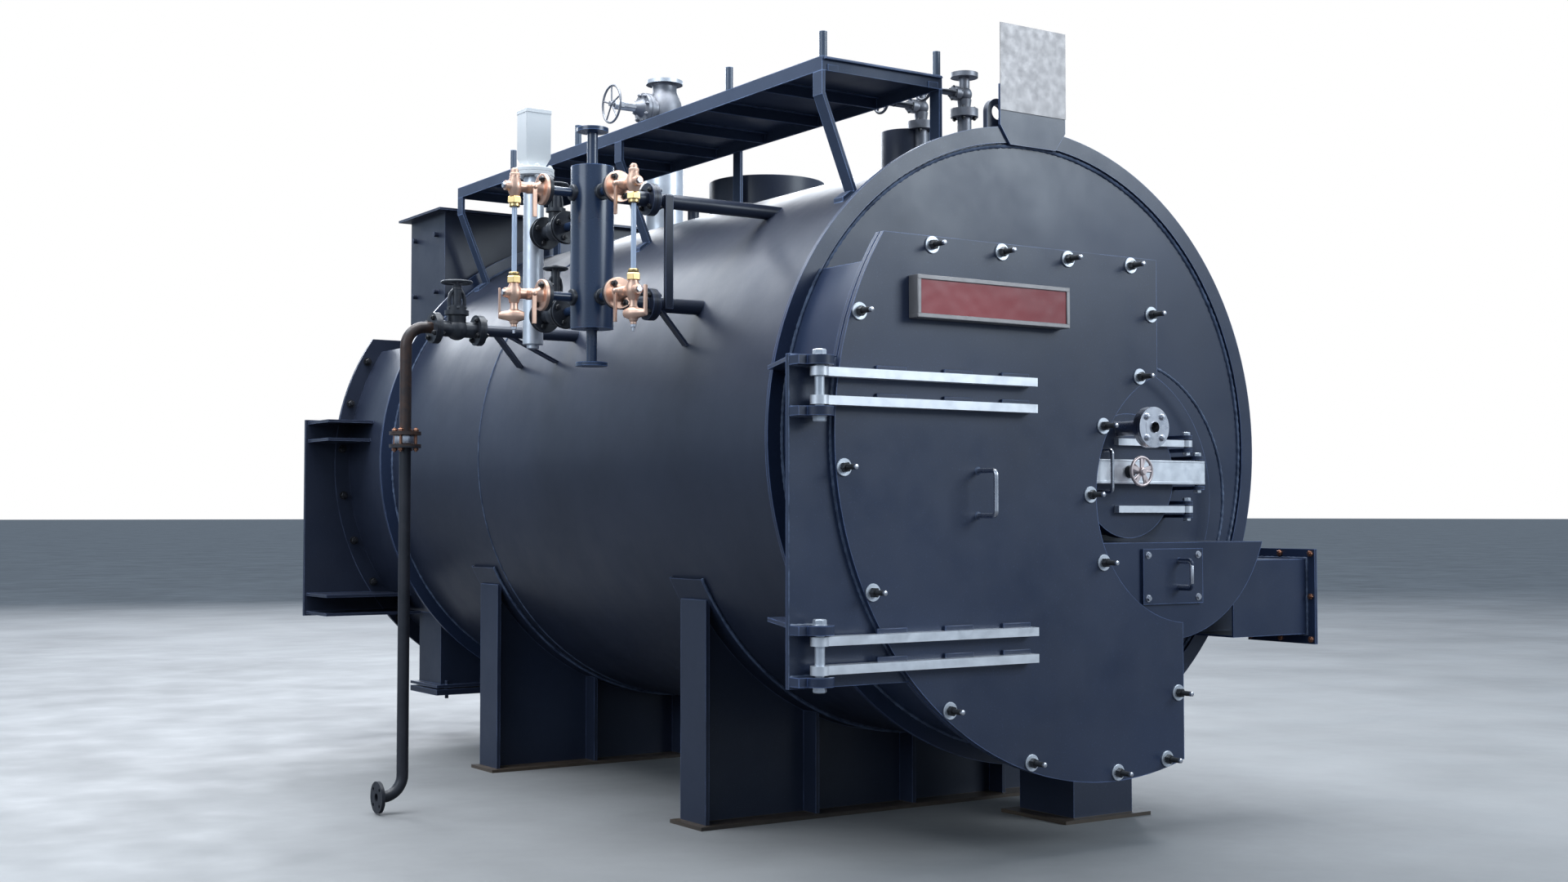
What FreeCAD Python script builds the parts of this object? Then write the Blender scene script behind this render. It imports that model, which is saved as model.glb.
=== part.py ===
"""Horizontal three-pass fire-tube boiler on saddles, with its doors, fittings and walkway.

Millimetres. +Z is up, the front faces -Y, and the origin is at floor level under the middle of the
front saddle. Heights named "...Rise" are measured from the shell axis, depths named "...Reach" are
measured forward from the front face of the front end ring, and depths named "...Station" are
measured back from it.
"""
import FreeCAD, Part
import math
import os
import re

from FreeCAD import Rotation, Vector

SIZES = {
    # shell
    "axisHeight": 1243, "faceSetback": 710, "shellRadius": 972, "shellWall": 14, "shellLength": 3040,
    "ringOver": 53, "ringThick": 14, "plateThick": 18, "plateRecess": 10,
    # furnace, which is right of the centre and below the axis
    "furnaceX": 338, "furnaceDrop": 167, "furnaceRadius": 400, "furnaceWall": 14,
    "mouthOver": 50, "mouthReach": 20, "mouthHole": 180,
    # front smokebox and its door
    "smokeboxReach": 334, "smokeboxWall": 10, "smokeboxLip": 66, "flangeThick": 16,
    "doorThick": 16, "doorGap": 5, "doorTopRise": 570, "doorUpperRight": 200,
    "doorLowerRight": 305, "cutRadius": 400, "boltEdge": 26, "washerRadius": 25, "washerThick": 5,
    "nutRadius": 15, "nutThick": 16, "studRadius": 8, "studLength": 62,
    # door hinges, straps and furniture
    "hingeOut": 69, "hingeStandoff": 27, "pinRadius": 14, "pinGap": 0.5, "upperHingeRise": 123,
    "lowerHingeDrop": 609, "strapHeight": 25, "strapDepth": 40, "strapPitch": 78, "strapEndX": 332,
    "strapRound": 26, "lugThick": 26, "lugGap": 5, "lugOverhang": 40, "pinHead": 9,
    "hingePlateOver": 68, "hingePlateTop": 211, "hingePlateDrop": 700, "gussetThick": 12,
    "handleX": 528, "handleTopDrop": 101, "handleHeight": 130, "handleReach": 80, "handleRod": 7,
    "nameX": 779, "nameWidth": 574, "nameBaseRise": 329, "nameHeight": 120, "nameThick": 38,
    # fire door, its clamp bar and screw
    "fireDoorX": 300, "fireDoorDrop": 101, "fireDoorRadius": 203, "fireDoorThick": 40,
    "fireDoorReach": 125, "fireHingeX": 552, "fireHingeReach": 138, "fireStrapHeight": 22,
    "fireStrapDepth": 22, "fireStrapPitch": 218, "fireStrapOverlap": 20, "fireStrapRun": 65, "firePin": 8,
    "barX": 105, "barEndX": 608, "barHeight": 78, "barThick": 24, "barDrop": 89, "barHingeX": 585,
    "barHingeReach": 155, "screwX": 262, "screwRadius": 9, "clampWheelRadius": 50,
    "clampWheelReach": 222, "fireHandleX": 150, "fireHandleTop": 22, "fireHandleHeight": 133,
    "fireHandleReach": 205, "fireHandleRod": 6,
    "nozzleX": 262, "nozzleRise": 50, "nozzlePipe": 24, "nozzleBore": 17, "nozzleFlange": 65,
    "nozzleFlangeThick": 14, "nozzleReach": 280,
    # ash box, ash door and air duct
    "ashOver": 10, "ashTopDrop": 316, "ashReach": 265, "ashPlate": 8, "ashDoorX": 213,
    "ashDoorWidth": 267, "ashDoorTop": 336, "ashDoorHeight": 176, "ashDoorThick": 10,
    "ashHandleX": 372, "ashHandleTop": 372, "ashHandleHeight": 92, "ashHandleReach": 55,
    "ductEndX": 1000, "ductReach": 258, "ductDepth": 228, "ductTopDrop": 378, "ductHeight": 254,
    "ductWall": 6, "ductLip": 34, "ductFlange": 12, "ductBoltEdge": 18, "ductBolt": 6,
    # rear smokebox, rear door and flue outlet
    "rearLength": 510, "rearTopRise": 521, "rearDoorTop": 578, "rearDoorThick": 16,
    "rearPlateTop": 198, "rearPlateDrop": 679, "flueHalfWidth": 715, "flueGap": 40,
    "flueDepth": 384, "flueProud": 155, "flueWall": 6, "flueLip": 45, "flueFlange": 10,
    # supports
    "saddleOver": 19.5, "saddleDepth": 160, "saddlePlate": 14, "baseOverhang": 28,
    "baseThick": 12, "baseDepth": 200, "saddleTopDrop": 505, "ribX": 410, "saddlePitch": 1585,
    "wrapThick": 12, "wrapRise": 34, "footX": 235, "footWidth": 265, "footDepth": 268, "footStation": 75,
    "footBaseLip": 60, "rearFootX": 711, "rearFootGap": 60, "rearFootDepth": 240,
    "rearFootSeat": 2, "rearFootLip": 30, "slideThick": 25, "slideGap": 8, "slideLength": 280,
    # walkway
    "deckLeftX": 690, "deckRightX": 210, "deckStation": 200, "deckEndGap": 40, "deckProud": 238,
    "frameHeight": 45, "frameThick": 6, "deckThick": 5, "legWidth": 50, "legThick": 12,
    "legFootX": 560, "legDrop": 70, "postRadius": 13, "postWall": 3, "postHeight": 80,
    # steam take-off, necks and top valves
    "steamStation": 2380, "steamNeck": 82, "steamValveProud": 431, "steamValveHeight": 250,
    "steamFlange": 80, "steamBolt": 9, "steamWheelX": 259, "steamWheel": 84,
    "manholeStation": 1567, "manholeRadius": 228, "manholeProud": 106, "neckStation": 668,
    "neckRadius": 88, "neckProud": 154, "nozzleStation": 2133, "smallFlange": 54, "smallPipe": 24,
    "smallNozzleProud": 118, "topValveStation": 341, "topValvePitch": 238, "topValveProud": 163,
    "topValveHeight": 140, "topFlange": 47, "topWheelX": 175, "topWheel": 45,
    # water column, level pipes and gauge glasses
    "columnOut": 288, "columnStation": 649, "columnRadius": 68, "columnLowRise": 355,
    "columnHeight": 512, "columnStubLow": 105, "columnStubHigh": 112, "columnFlange": 50,
    "levelPipe": 24, "upperLevelRise": 785, "lowerLevelRise": 447, "levelFlangeOut": 79,
    "levelFlange": 52, "strutOut": 28, "strutWidth": 28,
    "glassReach": 268, "glassFlangeReach": 180, "glassFlange": 49, "glassUpperRise": 780,
    "glassLowerRise": 451, "glassRadius": 8, "glassStub": 14, "cockBody": 19,
    # level controller and its isolating valves
    "controllerReach": 419, "controllerRadius": 34, "controllerLowRise": 339,
    "controllerHeight": 562, "controllerFlange": 68, "controllerBox": 90,
    "controllerBoxHeight": 200, "isolatorReach": 255, "isolatorUpperRise": 700,
    "isolatorLowerRise": 425, "isolatorFlange": 52, "isolatorWheel": 42, "isolatorWheelRise": 150,
    # feed line
    "feedStation": 1500, "feedRise": 422, "feedValveOut": 373, "feedWheel": 56, "feedWheelRise": 165,
    "feedFlange": 54, "feedFlangeX": 82, "feedPipe": 20, "feedDropOut": 187, "feedBend": 70,
    "feedJointRise": 24, "feedEndHeight": 58, "feedEndOut": 93, "feedBore": 14, "flangeThin": 12, "wheelGap": 10.6,
    # name board and lifting lug
    "boardHalfWidth": 140, "boardProud": 97, "boardHeight": 283, "boardThick": 3,
    "boardPlate": 8, "bracketFoot": 97, "bracketKnee": 47, "lugRadius": 44, "lugHole": 24, "lugPlate": 20, "lugX": 128,
    "lugProud": 94,
}

# Radii and places that follow from the sizes above.
TIED = {
    "ringRadius": "shellRadius + ringOver",
    "doorRadius": "shellRadius + smokeboxLip",
    "mouthRadius": "furnaceRadius + mouthOver",
    "ashRadius": "mouthRadius + ashOver",
    "hingeX": "doorRadius + hingeOut",
    "hingeReach": "smokeboxReach + doorGap + doorThick + hingeStandoff",
    "hingePlateX": "hingeX + hingePlateOver",
    "flueStation": "shellLength + flueGap",
    "flueTopRise": "shellRadius + flueProud",
    "saddleHalfWidth": "sqrt(shellRadius ^ 2 - saddleTopDrop ^ 2) + saddleOver",
    "rearFootStation": "shellLength + rearFootGap",
    "rearFootDrop": "shellRadius + rearFootSeat",
    "deckLength": "shellLength - deckStation - deckEndGap",
    "deckRise": "shellRadius + deckProud",
    "steamValveRise": "shellRadius + steamValveProud",
    "manholeRise": "shellRadius + manholeProud",
    "neckRise": "shellRadius + neckProud",
    "smallNozzleRise": "shellRadius + smallNozzleProud",
    "topValveRise": "shellRadius + topValveProud",
    "columnX": "shellRadius + columnOut",
    "levelFlangeX": "shellRadius + levelFlangeOut",
    "strutX": "shellRadius + strutOut",
    "feedValveX": "shellRadius + feedValveOut",
    "feedDropX": "feedValveX + feedDropOut",
    "feedEndX": "feedDropX + feedEndOut",
    "boardLowRise": "shellRadius + boardProud",
    "lugRise": "shellRadius + lugProud",
}

doc = FreeCAD.newDocument("Boiler")
sheet = doc.addObject("Spreadsheet::Sheet", "Sizes")
for row, (alias, value) in enumerate(SIZES.items(), start=1):
    sheet.set(f"A{row}", alias)
    sheet.set(f"B{row}", str(value))
    sheet.setAlias(f"B{row}", alias)
doc.recompute()

NODES = []
TURN = {
    "X": Rotation(Vector(0, 1, 0), 90),
    "-X": Rotation(Vector(0, 1, 0), -90),
    "Y": Rotation(Vector(1, 0, 0), -90),
    "-Y": Rotation(Vector(1, 0, 0), 90),
    "Z": Rotation(),
    "-Z": Rotation(Vector(1, 0, 0), 180),
}

# Planes and lines that several pieces share.
FACE = "(-faceSetback)"
SMOKE = "(-faceSetback - smokeboxReach)"
DOOR_BACK = "(-faceSetback - smokeboxReach - doorGap)"
DOOR_FRONT = "(-faceSetback - smokeboxReach - doorGap - doorThick)"
PLATE = "(-faceSetback + plateRecess)"
REAR = "(-faceSetback + shellLength)"
REAR_END = "(-faceSetback + shellLength + rearLength)"
FURNACE_Z = "(axisHeight - furnaceDrop)"
COLUMN_Y = "(columnStation - faceSetback)"
FEED_Y = "(feedStation - faceSetback)"


def bound(text):
    """The expression with every size written as a reference to the sheet."""
    def swap(word):
        if word[0] in TIED:
            return "(" + bound(TIED[word[0]]) + ")"
        return "Sizes." + word[0] if word[0] in SIZES else word[0]

    return re.sub(r"[A-Za-z]+", swap, str(text))


def place(piece, at, turn):
    piece.Placement = FreeCAD.Placement(Vector(), turn)
    for axis, text in zip("xyz", at):
        piece.setExpression(f"Placement.Base.{axis}", bound(text))
    return piece


def box(size, at, turn=TURN["Z"]):
    """A box from its low corner."""
    piece = doc.addObject("Part::Box", "Box")
    for name, text in zip(("Length", "Width", "Height"), size):
        piece.setExpression(name, bound(text))
    return place(piece, at, turn)


def rod(radius, length, at, axis="Z"):
    """A cylinder that starts at a point and runs along a row axis, or along a given rotation's Z."""
    piece = doc.addObject("Part::Cylinder", "Rod")
    piece.setExpression("Radius", bound(radius))
    piece.setExpression("Height", bound(length))
    return place(piece, at, TURN.get(axis, axis) if isinstance(axis, str) else axis)


def cone(radius_start, radius_end, length, at, axis="Z"):
    piece = doc.addObject("Part::Cone", "Cone")
    piece.setExpression("Radius1", bound(radius_start))
    piece.setExpression("Radius2", bound(radius_end))
    piece.setExpression("Height", bound(length))
    return place(piece, at, TURN[axis])


def ball(radius, at):
    piece = doc.addObject("Part::Sphere", "Ball")
    piece.setExpression("Radius", bound(radius))
    return place(piece, at, TURN["Z"])


def hexagon(radius, length, at, axis="Z"):
    piece = doc.addObject("Part::Prism", "Hexagon")
    piece.Polygon = 6
    piece.setExpression("Circumradius", bound(radius))
    piece.setExpression("Height", bound(length))
    return place(piece, at, TURN[axis])


def bend(big, small, at, turn, sweep=90):
    """Part of a torus, from its local +X towards its local +Y."""
    piece = doc.addObject("Part::Torus", "Bend")
    piece.setExpression("Radius1", bound(big))
    piece.setExpression("Radius2", bound(small))
    piece.Angle3 = sweep
    return place(piece, at, turn)


def cut(base, *tools):
    piece = doc.addObject("Part::Cut", "Cut")
    piece.Base = base
    piece.Tool = tools[0] if len(tools) == 1 else fuse(*tools)
    return piece


def fuse(*shapes):
    piece = doc.addObject("Part::MultiFuse", "Fuse")
    piece.Shapes = list(shapes)
    return piece


def common(*shapes):
    piece = doc.addObject("Part::MultiCommon", "Common")
    piece.Shapes = list(shapes)
    return piece


def group(*shapes):
    """Like pieces that don't touch."""
    piece = doc.addObject("Part::Compound", "Group")
    piece.Links = list(shapes)
    return piece


def tube(outer, inner, length, at, axis="Z"):
    return cut(rod(outer, length, at, axis), rod(inner, length, at, axis))


def strut(start, end, width, thick):
    """A flat bar between two points given as texts, with its ends square to it."""
    bar = doc.addObject("Part::Box", "Strut")
    run = [f"(({b}) - ({a}))" for a, b in zip(start, end)]
    length = f"sqrt({run[0]} ^ 2 + {run[1]} ^ 2 + {run[2]} ^ 2)"
    bar.setExpression("Length", bound(length))
    bar.setExpression("Width", bound(width))
    bar.setExpression("Height", bound(thick))
    values = [measure(text) for text in run]
    along = Vector(*values).normalize()
    side = Vector(0, 1, 0) if abs(along.y) < 0.9 else Vector(1, 0, 0)
    side = (side - along * side.dot(along)).normalize()
    up = along.cross(side)
    turn = Rotation(along, side, up, "XYZ")
    half_width, half_thick = measure(width) / 2, measure(thick) / 2
    shift = side * -half_width + up * -half_thick
    at = [f"({text}) + ({offset:.6f})" for text, offset in zip(start, shift)]
    return place(bar, at, turn)


def beyond(start, end, depth, thick):
    """A block whose near face runs through two points, on the left of the line between them."""
    along = Vector(*[measure(f"({b}) - ({a})") for a, b in zip(start, end)]).normalize()
    flat = abs(along.z) < 1e-6
    up = Vector(0, 0, 1) if flat else Vector(0, -1, 0)
    left = up.cross(along)
    block = doc.addObject("Part::Box", "Beyond")
    for name, text in zip(("Length", "Width", "Height"), (f"3 * ({depth})", depth, f"2 * ({thick})")):
        block.setExpression(name, bound(text))
    shift = along * -measure(depth) - up * measure(thick) * (0.5 if flat else 1.5)
    at = [f"({text}) + ({offset:.6f})" for text, offset in zip(start, shift)]
    return place(block, at, Rotation(along, left, up, "XYZ"))


def measure(text):
    """The value of an expression on the sheet's numbers."""
    probe = doc.getObject("Probe") or doc.addObject("App::FeaturePython", "Probe")
    if not hasattr(probe, "Value"):
        probe.addProperty("App::PropertyFloat", "Value")
    probe.setExpression("Value", bound(text))
    probe.recompute()
    return probe.Value


def node(name, piece):
    piece.Label = name
    NODES.append(piece)
    return piece


def u_handle(x, front, top, height, reach, wire):
    """A round-bar handle on a face that looks towards -Y: two legs, two bends and a grip."""
    corner = f"(2 * {wire})"
    parts = []
    for level, turn in ((top, Rotation(Vector(0, 0, 1), 0)), (f"({top} - {height})", None)):
        sign = 1 if level == top else -1
        parts.append(rod(wire, f"{reach} - {corner}", (x, front, level), "-Y"))
        orient = Rotation(Vector(0, -1, 0), Vector(0, 0, sign), Vector(-sign, 0, 0), "XYZ")
        centre = (x, f"{front} - ({reach}) + {corner}", f"({level}) - {sign} * {corner}")
        parts.append(bend(corner, wire, centre, orient))
    grip_low = f"({top}) - ({height}) + {corner}"
    parts.append(rod(wire, f"({height}) - 2 * {corner}", (x, f"{front} - ({reach})", grip_low)))
    return fuse(*parts)


def hand_wheel(radius, at, axis, spokes=5):
    """A rim, a hub and spokes; the wheel's own Z is its spindle."""
    turn = TURN[axis]
    parts = [bend(f"{radius} - 5", 5, at, turn, sweep=360), rod(11, 20, shifted(at, turn, -10), axis)]
    for number in range(spokes):
        spin = Rotation(Vector(0, 0, 1), 360 * number / spokes)
        lie = turn.multiply(spin).multiply(TURN["X"])
        parts.append(rod(3.5, f"{radius} - 6", at, lie))
    return fuse(*parts)


def shifted(at, turn, along):
    """The point moved along a rotation's Z."""
    step = turn.multVec(Vector(0, 0, along))
    return [f"({text}) + ({offset:.3f})" for text, offset in zip(at, step)]


def smokebox_block(inset, low, depth):
    """The smokebox outline, drawn in by an inset, as a solid between two depths."""
    radius = f"(doorRadius - {inset})"
    right = f"(doorLowerRight - {inset})"
    body = common(
        rod(radius, depth, (0, low, "axisHeight"), "Y"),
        box((f"{radius} + {right}", depth, f"{radius} + doorTopRise - {inset}"),
            (f"-{radius}", low, f"axisHeight - {radius}")),
    )
    upper_right = box(("doorRadius", depth, "doorRadius"),
                      (f"doorUpperRight - {inset}", low, FURNACE_Z))
    furnace = rod(f"cutRadius + {inset}", depth, ("furnaceX", low, FURNACE_Z), "Y")
    return cut(body, upper_right, furnace)


def make_shell():
    ends = (PLATE, f"{REAR} - plateRecess")
    length = "shellLength - 2 * plateRecess"
    node("shell", tube("shellRadius", "shellRadius - shellWall", length, (0, PLATE, "axisHeight"), "Y"))
    rings = [tube("ringRadius", "shellRadius", "ringThick", (0, low, "axisHeight"), "Y")
             for low in (FACE, f"{REAR} - ringThick")]
    node("end_rings", group(*rings))
    inner = "(shellRadius - shellWall)"
    disc = rod(inner, "plateThick", (0, ends[0], "axisHeight"), "Y")
    hole = rod("furnaceRadius", "plateThick", ("furnaceX", ends[0], FURNACE_Z), "Y")
    back = rod(inner, "plateThick", (0, f"{ends[1]} - plateThick", "axisHeight"), "Y")
    node("tube_plates", group(cut(disc, hole), back))
    length = "shellLength - 2 * plateRecess - plateThick"
    node("furnace_tube", tube("furnaceRadius", "furnaceRadius - furnaceWall", length,
                              ("furnaceX", PLATE, FURNACE_Z), "Y"))


def make_front_smokebox():
    wall_low = f"({SMOKE} + flangeThick)"
    wall_depth = "smokeboxReach - flangeThick + plateRecess"
    flange = cut(smokebox_block("0", SMOKE, "flangeThick"),
                 smokebox_block("(smokeboxLip + smokeboxWall)", SMOKE, "flangeThick"))
    wall = cut(smokebox_block("smokeboxLip", wall_low, wall_depth),
               smokebox_block("(smokeboxLip + smokeboxWall)", wall_low, wall_depth))
    node("front_smokebox", fuse(flange, wall))


def bolt_places():
    """Centres of the door's bolts, all the same distance in from its edge."""
    pitch = "(doorRadius - boltEdge)"
    top = "(axisHeight + doorTopRise - boltEdge)"
    places = [(f"doorUpperRight - boltEdge - 87 - {step} * 261", top) for step in range(4)]
    for angle in (160.5, 185.5, 206, 231, 251, 271, 283):
        turn = math.radians(angle)
        places.append((f"{pitch} * {math.cos(turn):.6f}", f"axisHeight + {pitch} * {math.sin(turn):.6f}"))
    for angle in (120.5, 150.5, 180, 209):
        turn = math.radians(angle)
        ring = "(cutRadius + boltEdge)"
        places.append((f"furnaceX + {ring} * {math.cos(turn):.6f}",
                       f"{FURNACE_Z} + {ring} * {math.sin(turn):.6f}"))
    places.append(("doorUpperRight - boltEdge", "axisHeight + doorTopRise - 174"))
    places.append(("doorLowerRight - boltEdge", f"{FURNACE_Z} - cutRadius - 217"))
    return places


def make_smokebox_door():
    node("smokebox_door", smokebox_block("0", DOOR_FRONT, "doorThick"))
    bolts = []
    for x, z in bolt_places():
        bolts.append(fuse(
            rod("washerRadius", "washerThick", (x, DOOR_FRONT, z), "-Y"),
            hexagon("nutRadius", "nutThick", (x, f"{DOOR_FRONT} - washerThick", z), "-Y"),
            rod("studRadius", "studLength", (x, DOOR_FRONT, z), "-Y"),
        ))
    node("door_bolts", group(*bolts))
    node("door_handle", u_handle("(-handleX)", DOOR_FRONT, "(axisHeight - handleTopDrop)", "handleHeight",
                                 "handleReach", "handleRod"))
    node("name_block", box(("nameWidth", "nameThick", "nameHeight"),
                           ("-nameX", f"{DOOR_FRONT} - nameThick", "axisHeight + nameBaseRise")))


def hinge_levels():
    return ("(axisHeight + upperHingeRise)", "(axisHeight - lowerHingeDrop)")


def make_door_hinges():
    pin_y = "(-faceSetback - hingeReach)"
    straps = []
    for level in hinge_levels():
        for side in (-1, 1):
            low = f"({level} + {side} * strapPitch / 2 - strapHeight / 2)"
            bar = box(("hingeX - strapEndX", "strapDepth", "strapHeight"),
                      ("-hingeX", f"{DOOR_FRONT} - strapDepth", low))
            eye = rod("strapRound", "strapHeight", ("-hingeX", pin_y, low))
            hole = rod("pinRadius + pinGap", "strapHeight", ("-hingeX", pin_y, low))
            straps.append(cut(fuse(bar, eye), hole))
    node("door_straps", group(*straps))

    plate_height = "hingePlateTop + hingePlateDrop"
    plate = box(("hingePlateX - strapEndX", "flangeThick", plate_height),
                ("-hingePlateX", SMOKE, "axisHeight - hingePlateDrop"))
    clear_of_wall = rod("doorRadius", "flangeThick", (0, SMOKE, "axisHeight"), "Y")
    parts = [cut(plate, clear_of_wall)]
    for level in hinge_levels():
        for side in (-1, 1):
            near = f"(strapPitch / 2 + strapHeight / 2 + lugGap)"
            low = f"{level} + {near}" if side > 0 else f"{level} - {near} - lugThick"
            parts.append(box(("hingePlateX - hingeX + lugOverhang", "hingeReach - smokeboxReach", "lugThick"),
                             ("-hingePlateX", pin_y, low)))
            parts.append(rod("lugOverhang", "lugThick", ("-hingeX", pin_y, low)))
        reach = "(strapPitch / 2 + strapHeight / 2 + lugGap + lugThick + pinHead)"
        parts.append(rod("pinRadius", f"2 * {reach}", ("-hingeX", pin_y, f"{level} - {reach}")))
    for level in hinge_levels():
        for side in (-1, 1):
            low = f"{level} + {side} * strapPitch - gussetThick / 2"
            rib = box(("hingePlateX - shellRadius + strapRound", "smokeboxReach - flangeThick", "gussetThick"),
                      ("-hingePlateX + gussetThick", f"{SMOKE} + flangeThick", low))
            clear = rod("doorRadius - smokeboxLip", "smokeboxReach", (0, f"{SMOKE} + flangeThick", "axisHeight"), "Y")
            edge = beyond(("-hingePlateX + gussetThick", f"{SMOKE} + flangeThick", low),
                      ("-ringRadius", FACE, low), "smokeboxReach", "gussetThick")
        parts.append(cut(rib, clear, edge))
    node("hinge_plate", fuse(*parts))


def make_furnace_mouth():
    hole_x, hole_z = "fireDoorX", "(axisHeight - fireDoorDrop)"
    front = "(-faceSetback - mouthReach)"
    plate = rod("mouthRadius", "mouthReach + plateRecess", ("furnaceX", front, FURNACE_Z), "Y")
    hole = rod("mouthHole", "mouthReach + plateRecess", (hole_x, front, hole_z), "Y")
    collar_front = "(-faceSetback - fireDoorReach + fireDoorThick + doorGap)"
    collar_depth = "fireDoorReach - fireDoorThick - doorGap - mouthReach"
    collar = tube("mouthHole + ringThick", "mouthHole", collar_depth, (hole_x, collar_front, hole_z), "Y")
    node("furnace_mouth", fuse(cut(plate, hole), collar))


def strap_level(side):
    return f"(axisHeight - fireDoorDrop + {side} * fireStrapPitch / 2)"


def make_fire_door():
    front = "(-faceSetback - fireDoorReach)"
    centre_z = "(axisHeight - fireDoorDrop)"
    node("fire_door", rod("fireDoorRadius", "fireDoorThick", ("fireDoorX", front, centre_z), "Y"))
    pin_y = "(-faceSetback - fireHingeReach)"
    straps = []
    for side in (-1, 1):
        low = f"({strap_level(side)} - fireStrapHeight / 2)"
        bar = box(("fireHingeX - fireDoorX + fireStrapRun", "fireStrapDepth", "fireStrapHeight"),
                  ("fireDoorX - fireStrapRun", f"{front} - fireStrapDepth", low))
        eye = rod("fireStrapOverlap", "fireStrapHeight", ("fireHingeX", pin_y, low))
        hole = rod("firePin + pinGap", "fireStrapHeight", ("fireHingeX", pin_y, low))
        straps.append(cut(fuse(bar, eye), hole))
    node("fire_door_straps", group(*straps))
    node("fire_door_handle", u_handle("fireHandleX", front, "(axisHeight - fireHandleTop)",
                                      "fireHandleHeight", "(fireHandleReach - fireDoorReach)",
                                      "fireHandleRod"))
    nozzle_z = "(axisHeight + nozzleRise)"
    length = "(nozzleReach - fireDoorReach)"
    outside = [rod("nozzlePipe", length, ("nozzleX", front, nozzle_z), "-Y")]
    for step in (1, 2):
        start = f"{front} - {length} + {step} * (nozzleFlangeThick + 2)  - 2"
        outside.append(rod("nozzleFlange", "nozzleFlangeThick", ("nozzleX", start, nozzle_z), "-Y"))
    bore = rod("nozzleBore", f"{length} - 5", ("nozzleX", f"{front} - 5", nozzle_z), "-Y")
    node("burner_nozzle", cut(fuse(*outside), bore))


def make_fire_door_hinge():
    parts = []
    for side in (-1, 1):
        level = strap_level(side)
        pin_y = "(-faceSetback - fireHingeReach)"
        near = "(fireStrapHeight / 2 + lugGap)"
        for low in (f"{level} + {near}", f"{level} - {near} - gussetThick"):
            parts.append(box(("2 * fireStrapOverlap", "fireHingeReach - mouthReach", "gussetThick"),
                             ("fireHingeX - fireStrapOverlap", pin_y, low)))
            parts.append(rod("fireStrapOverlap", "gussetThick", ("fireHingeX", pin_y, low)))
        reach = f"({near} + gussetThick + pinHead)"
        parts.append(rod("firePin", f"2 * {reach}", ("fireHingeX", pin_y, f"{level} - {reach}")))
    pin_y = "(-faceSetback - barHingeReach)"
    level = "(axisHeight - barDrop)"
    near = "(barHeight / 2 + lugGap)"
    ears = []
    for low in (f"{level} + {near}", f"{level} - {near} - gussetThick"):
        ears.append(box(("2 * fireStrapOverlap", "barHingeReach - mouthReach", "gussetThick"),
                        ("barHingeX - fireStrapOverlap + 14", pin_y, low)))
        ears.append(rod("fireStrapOverlap", "gussetThick", ("barHingeX", pin_y, low)))
    reach = f"({near} + gussetThick + pinHead)"
    ears.append(rod("firePin", f"2 * {reach}", ("barHingeX", pin_y, f"{level} - {reach}")))
    node("fire_door_hinges", group(fuse(*parts[:5]), fuse(*parts[5:]), fuse(*ears)))


def make_clamp_bar():
    pin_y = "(-faceSetback - barHingeReach)"
    low = "(axisHeight - barDrop - barHeight / 2)"
    bar = box(("barEndX - barX", "barThick", "barHeight"), ("barX", f"{pin_y} - barThick / 2", low))
    pin_hole = rod("firePin + pinGap", "barHeight", ("barHingeX", pin_y, low))
    screw_hole = rod("screwRadius + pinGap", "barThick",
                     ("screwX", f"{pin_y} - barThick / 2", "axisHeight - barDrop"), "Y")
    node("clamp_bar", cut(bar, pin_hole, screw_hole))
    wheel_at = ("screwX", "-faceSetback - clampWheelReach", "axisHeight - barDrop")
    start = "-faceSetback - clampWheelReach - 14"
    screw = rod("screwRadius", "clampWheelReach + 14 - fireDoorReach - 7",
                ("screwX", start, "axisHeight - barDrop"), "Y")
    node("clamp_handwheel", fuse(hand_wheel("clampWheelRadius", wheel_at, "Y"), screw))


def make_ash_box():
    front = "(-faceSetback - ashReach)"
    top = "(axisHeight - ashTopDrop)"
    depth = "ashReach + plateRecess"
    round_part = rod("ashRadius", depth, ("furnaceX", front, FURNACE_Z), "Y")
    lower = box(("2 * ashRadius", depth, "ashRadius + furnaceDrop"),
                ("furnaceX - ashRadius", front, f"{top} - ashRadius - furnaceDrop"))
    below_mouth = rod("mouthRadius", "mouthReach + plateRecess", ("furnaceX", "-faceSetback - mouthReach", FURNACE_Z), "Y")
    clear_of_box = smokebox_block("0", SMOKE, "smokeboxReach + plateRecess")
    node("ash_box", cut(common(round_part, lower), below_mouth, clear_of_box))
    plate = box(("ashDoorWidth", "ashDoorThick", "ashDoorHeight"),
                ("ashDoorX", f"{front} - ashDoorThick", "axisHeight - ashDoorTop - ashDoorHeight"))
    handle = u_handle("ashHandleX", f"({front} - ashDoorThick)", "(axisHeight - ashHandleTop)",
                      "ashHandleHeight", "ashHandleReach", "fireHandleRod")
    node("ash_door", fuse(plate, handle))


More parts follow.
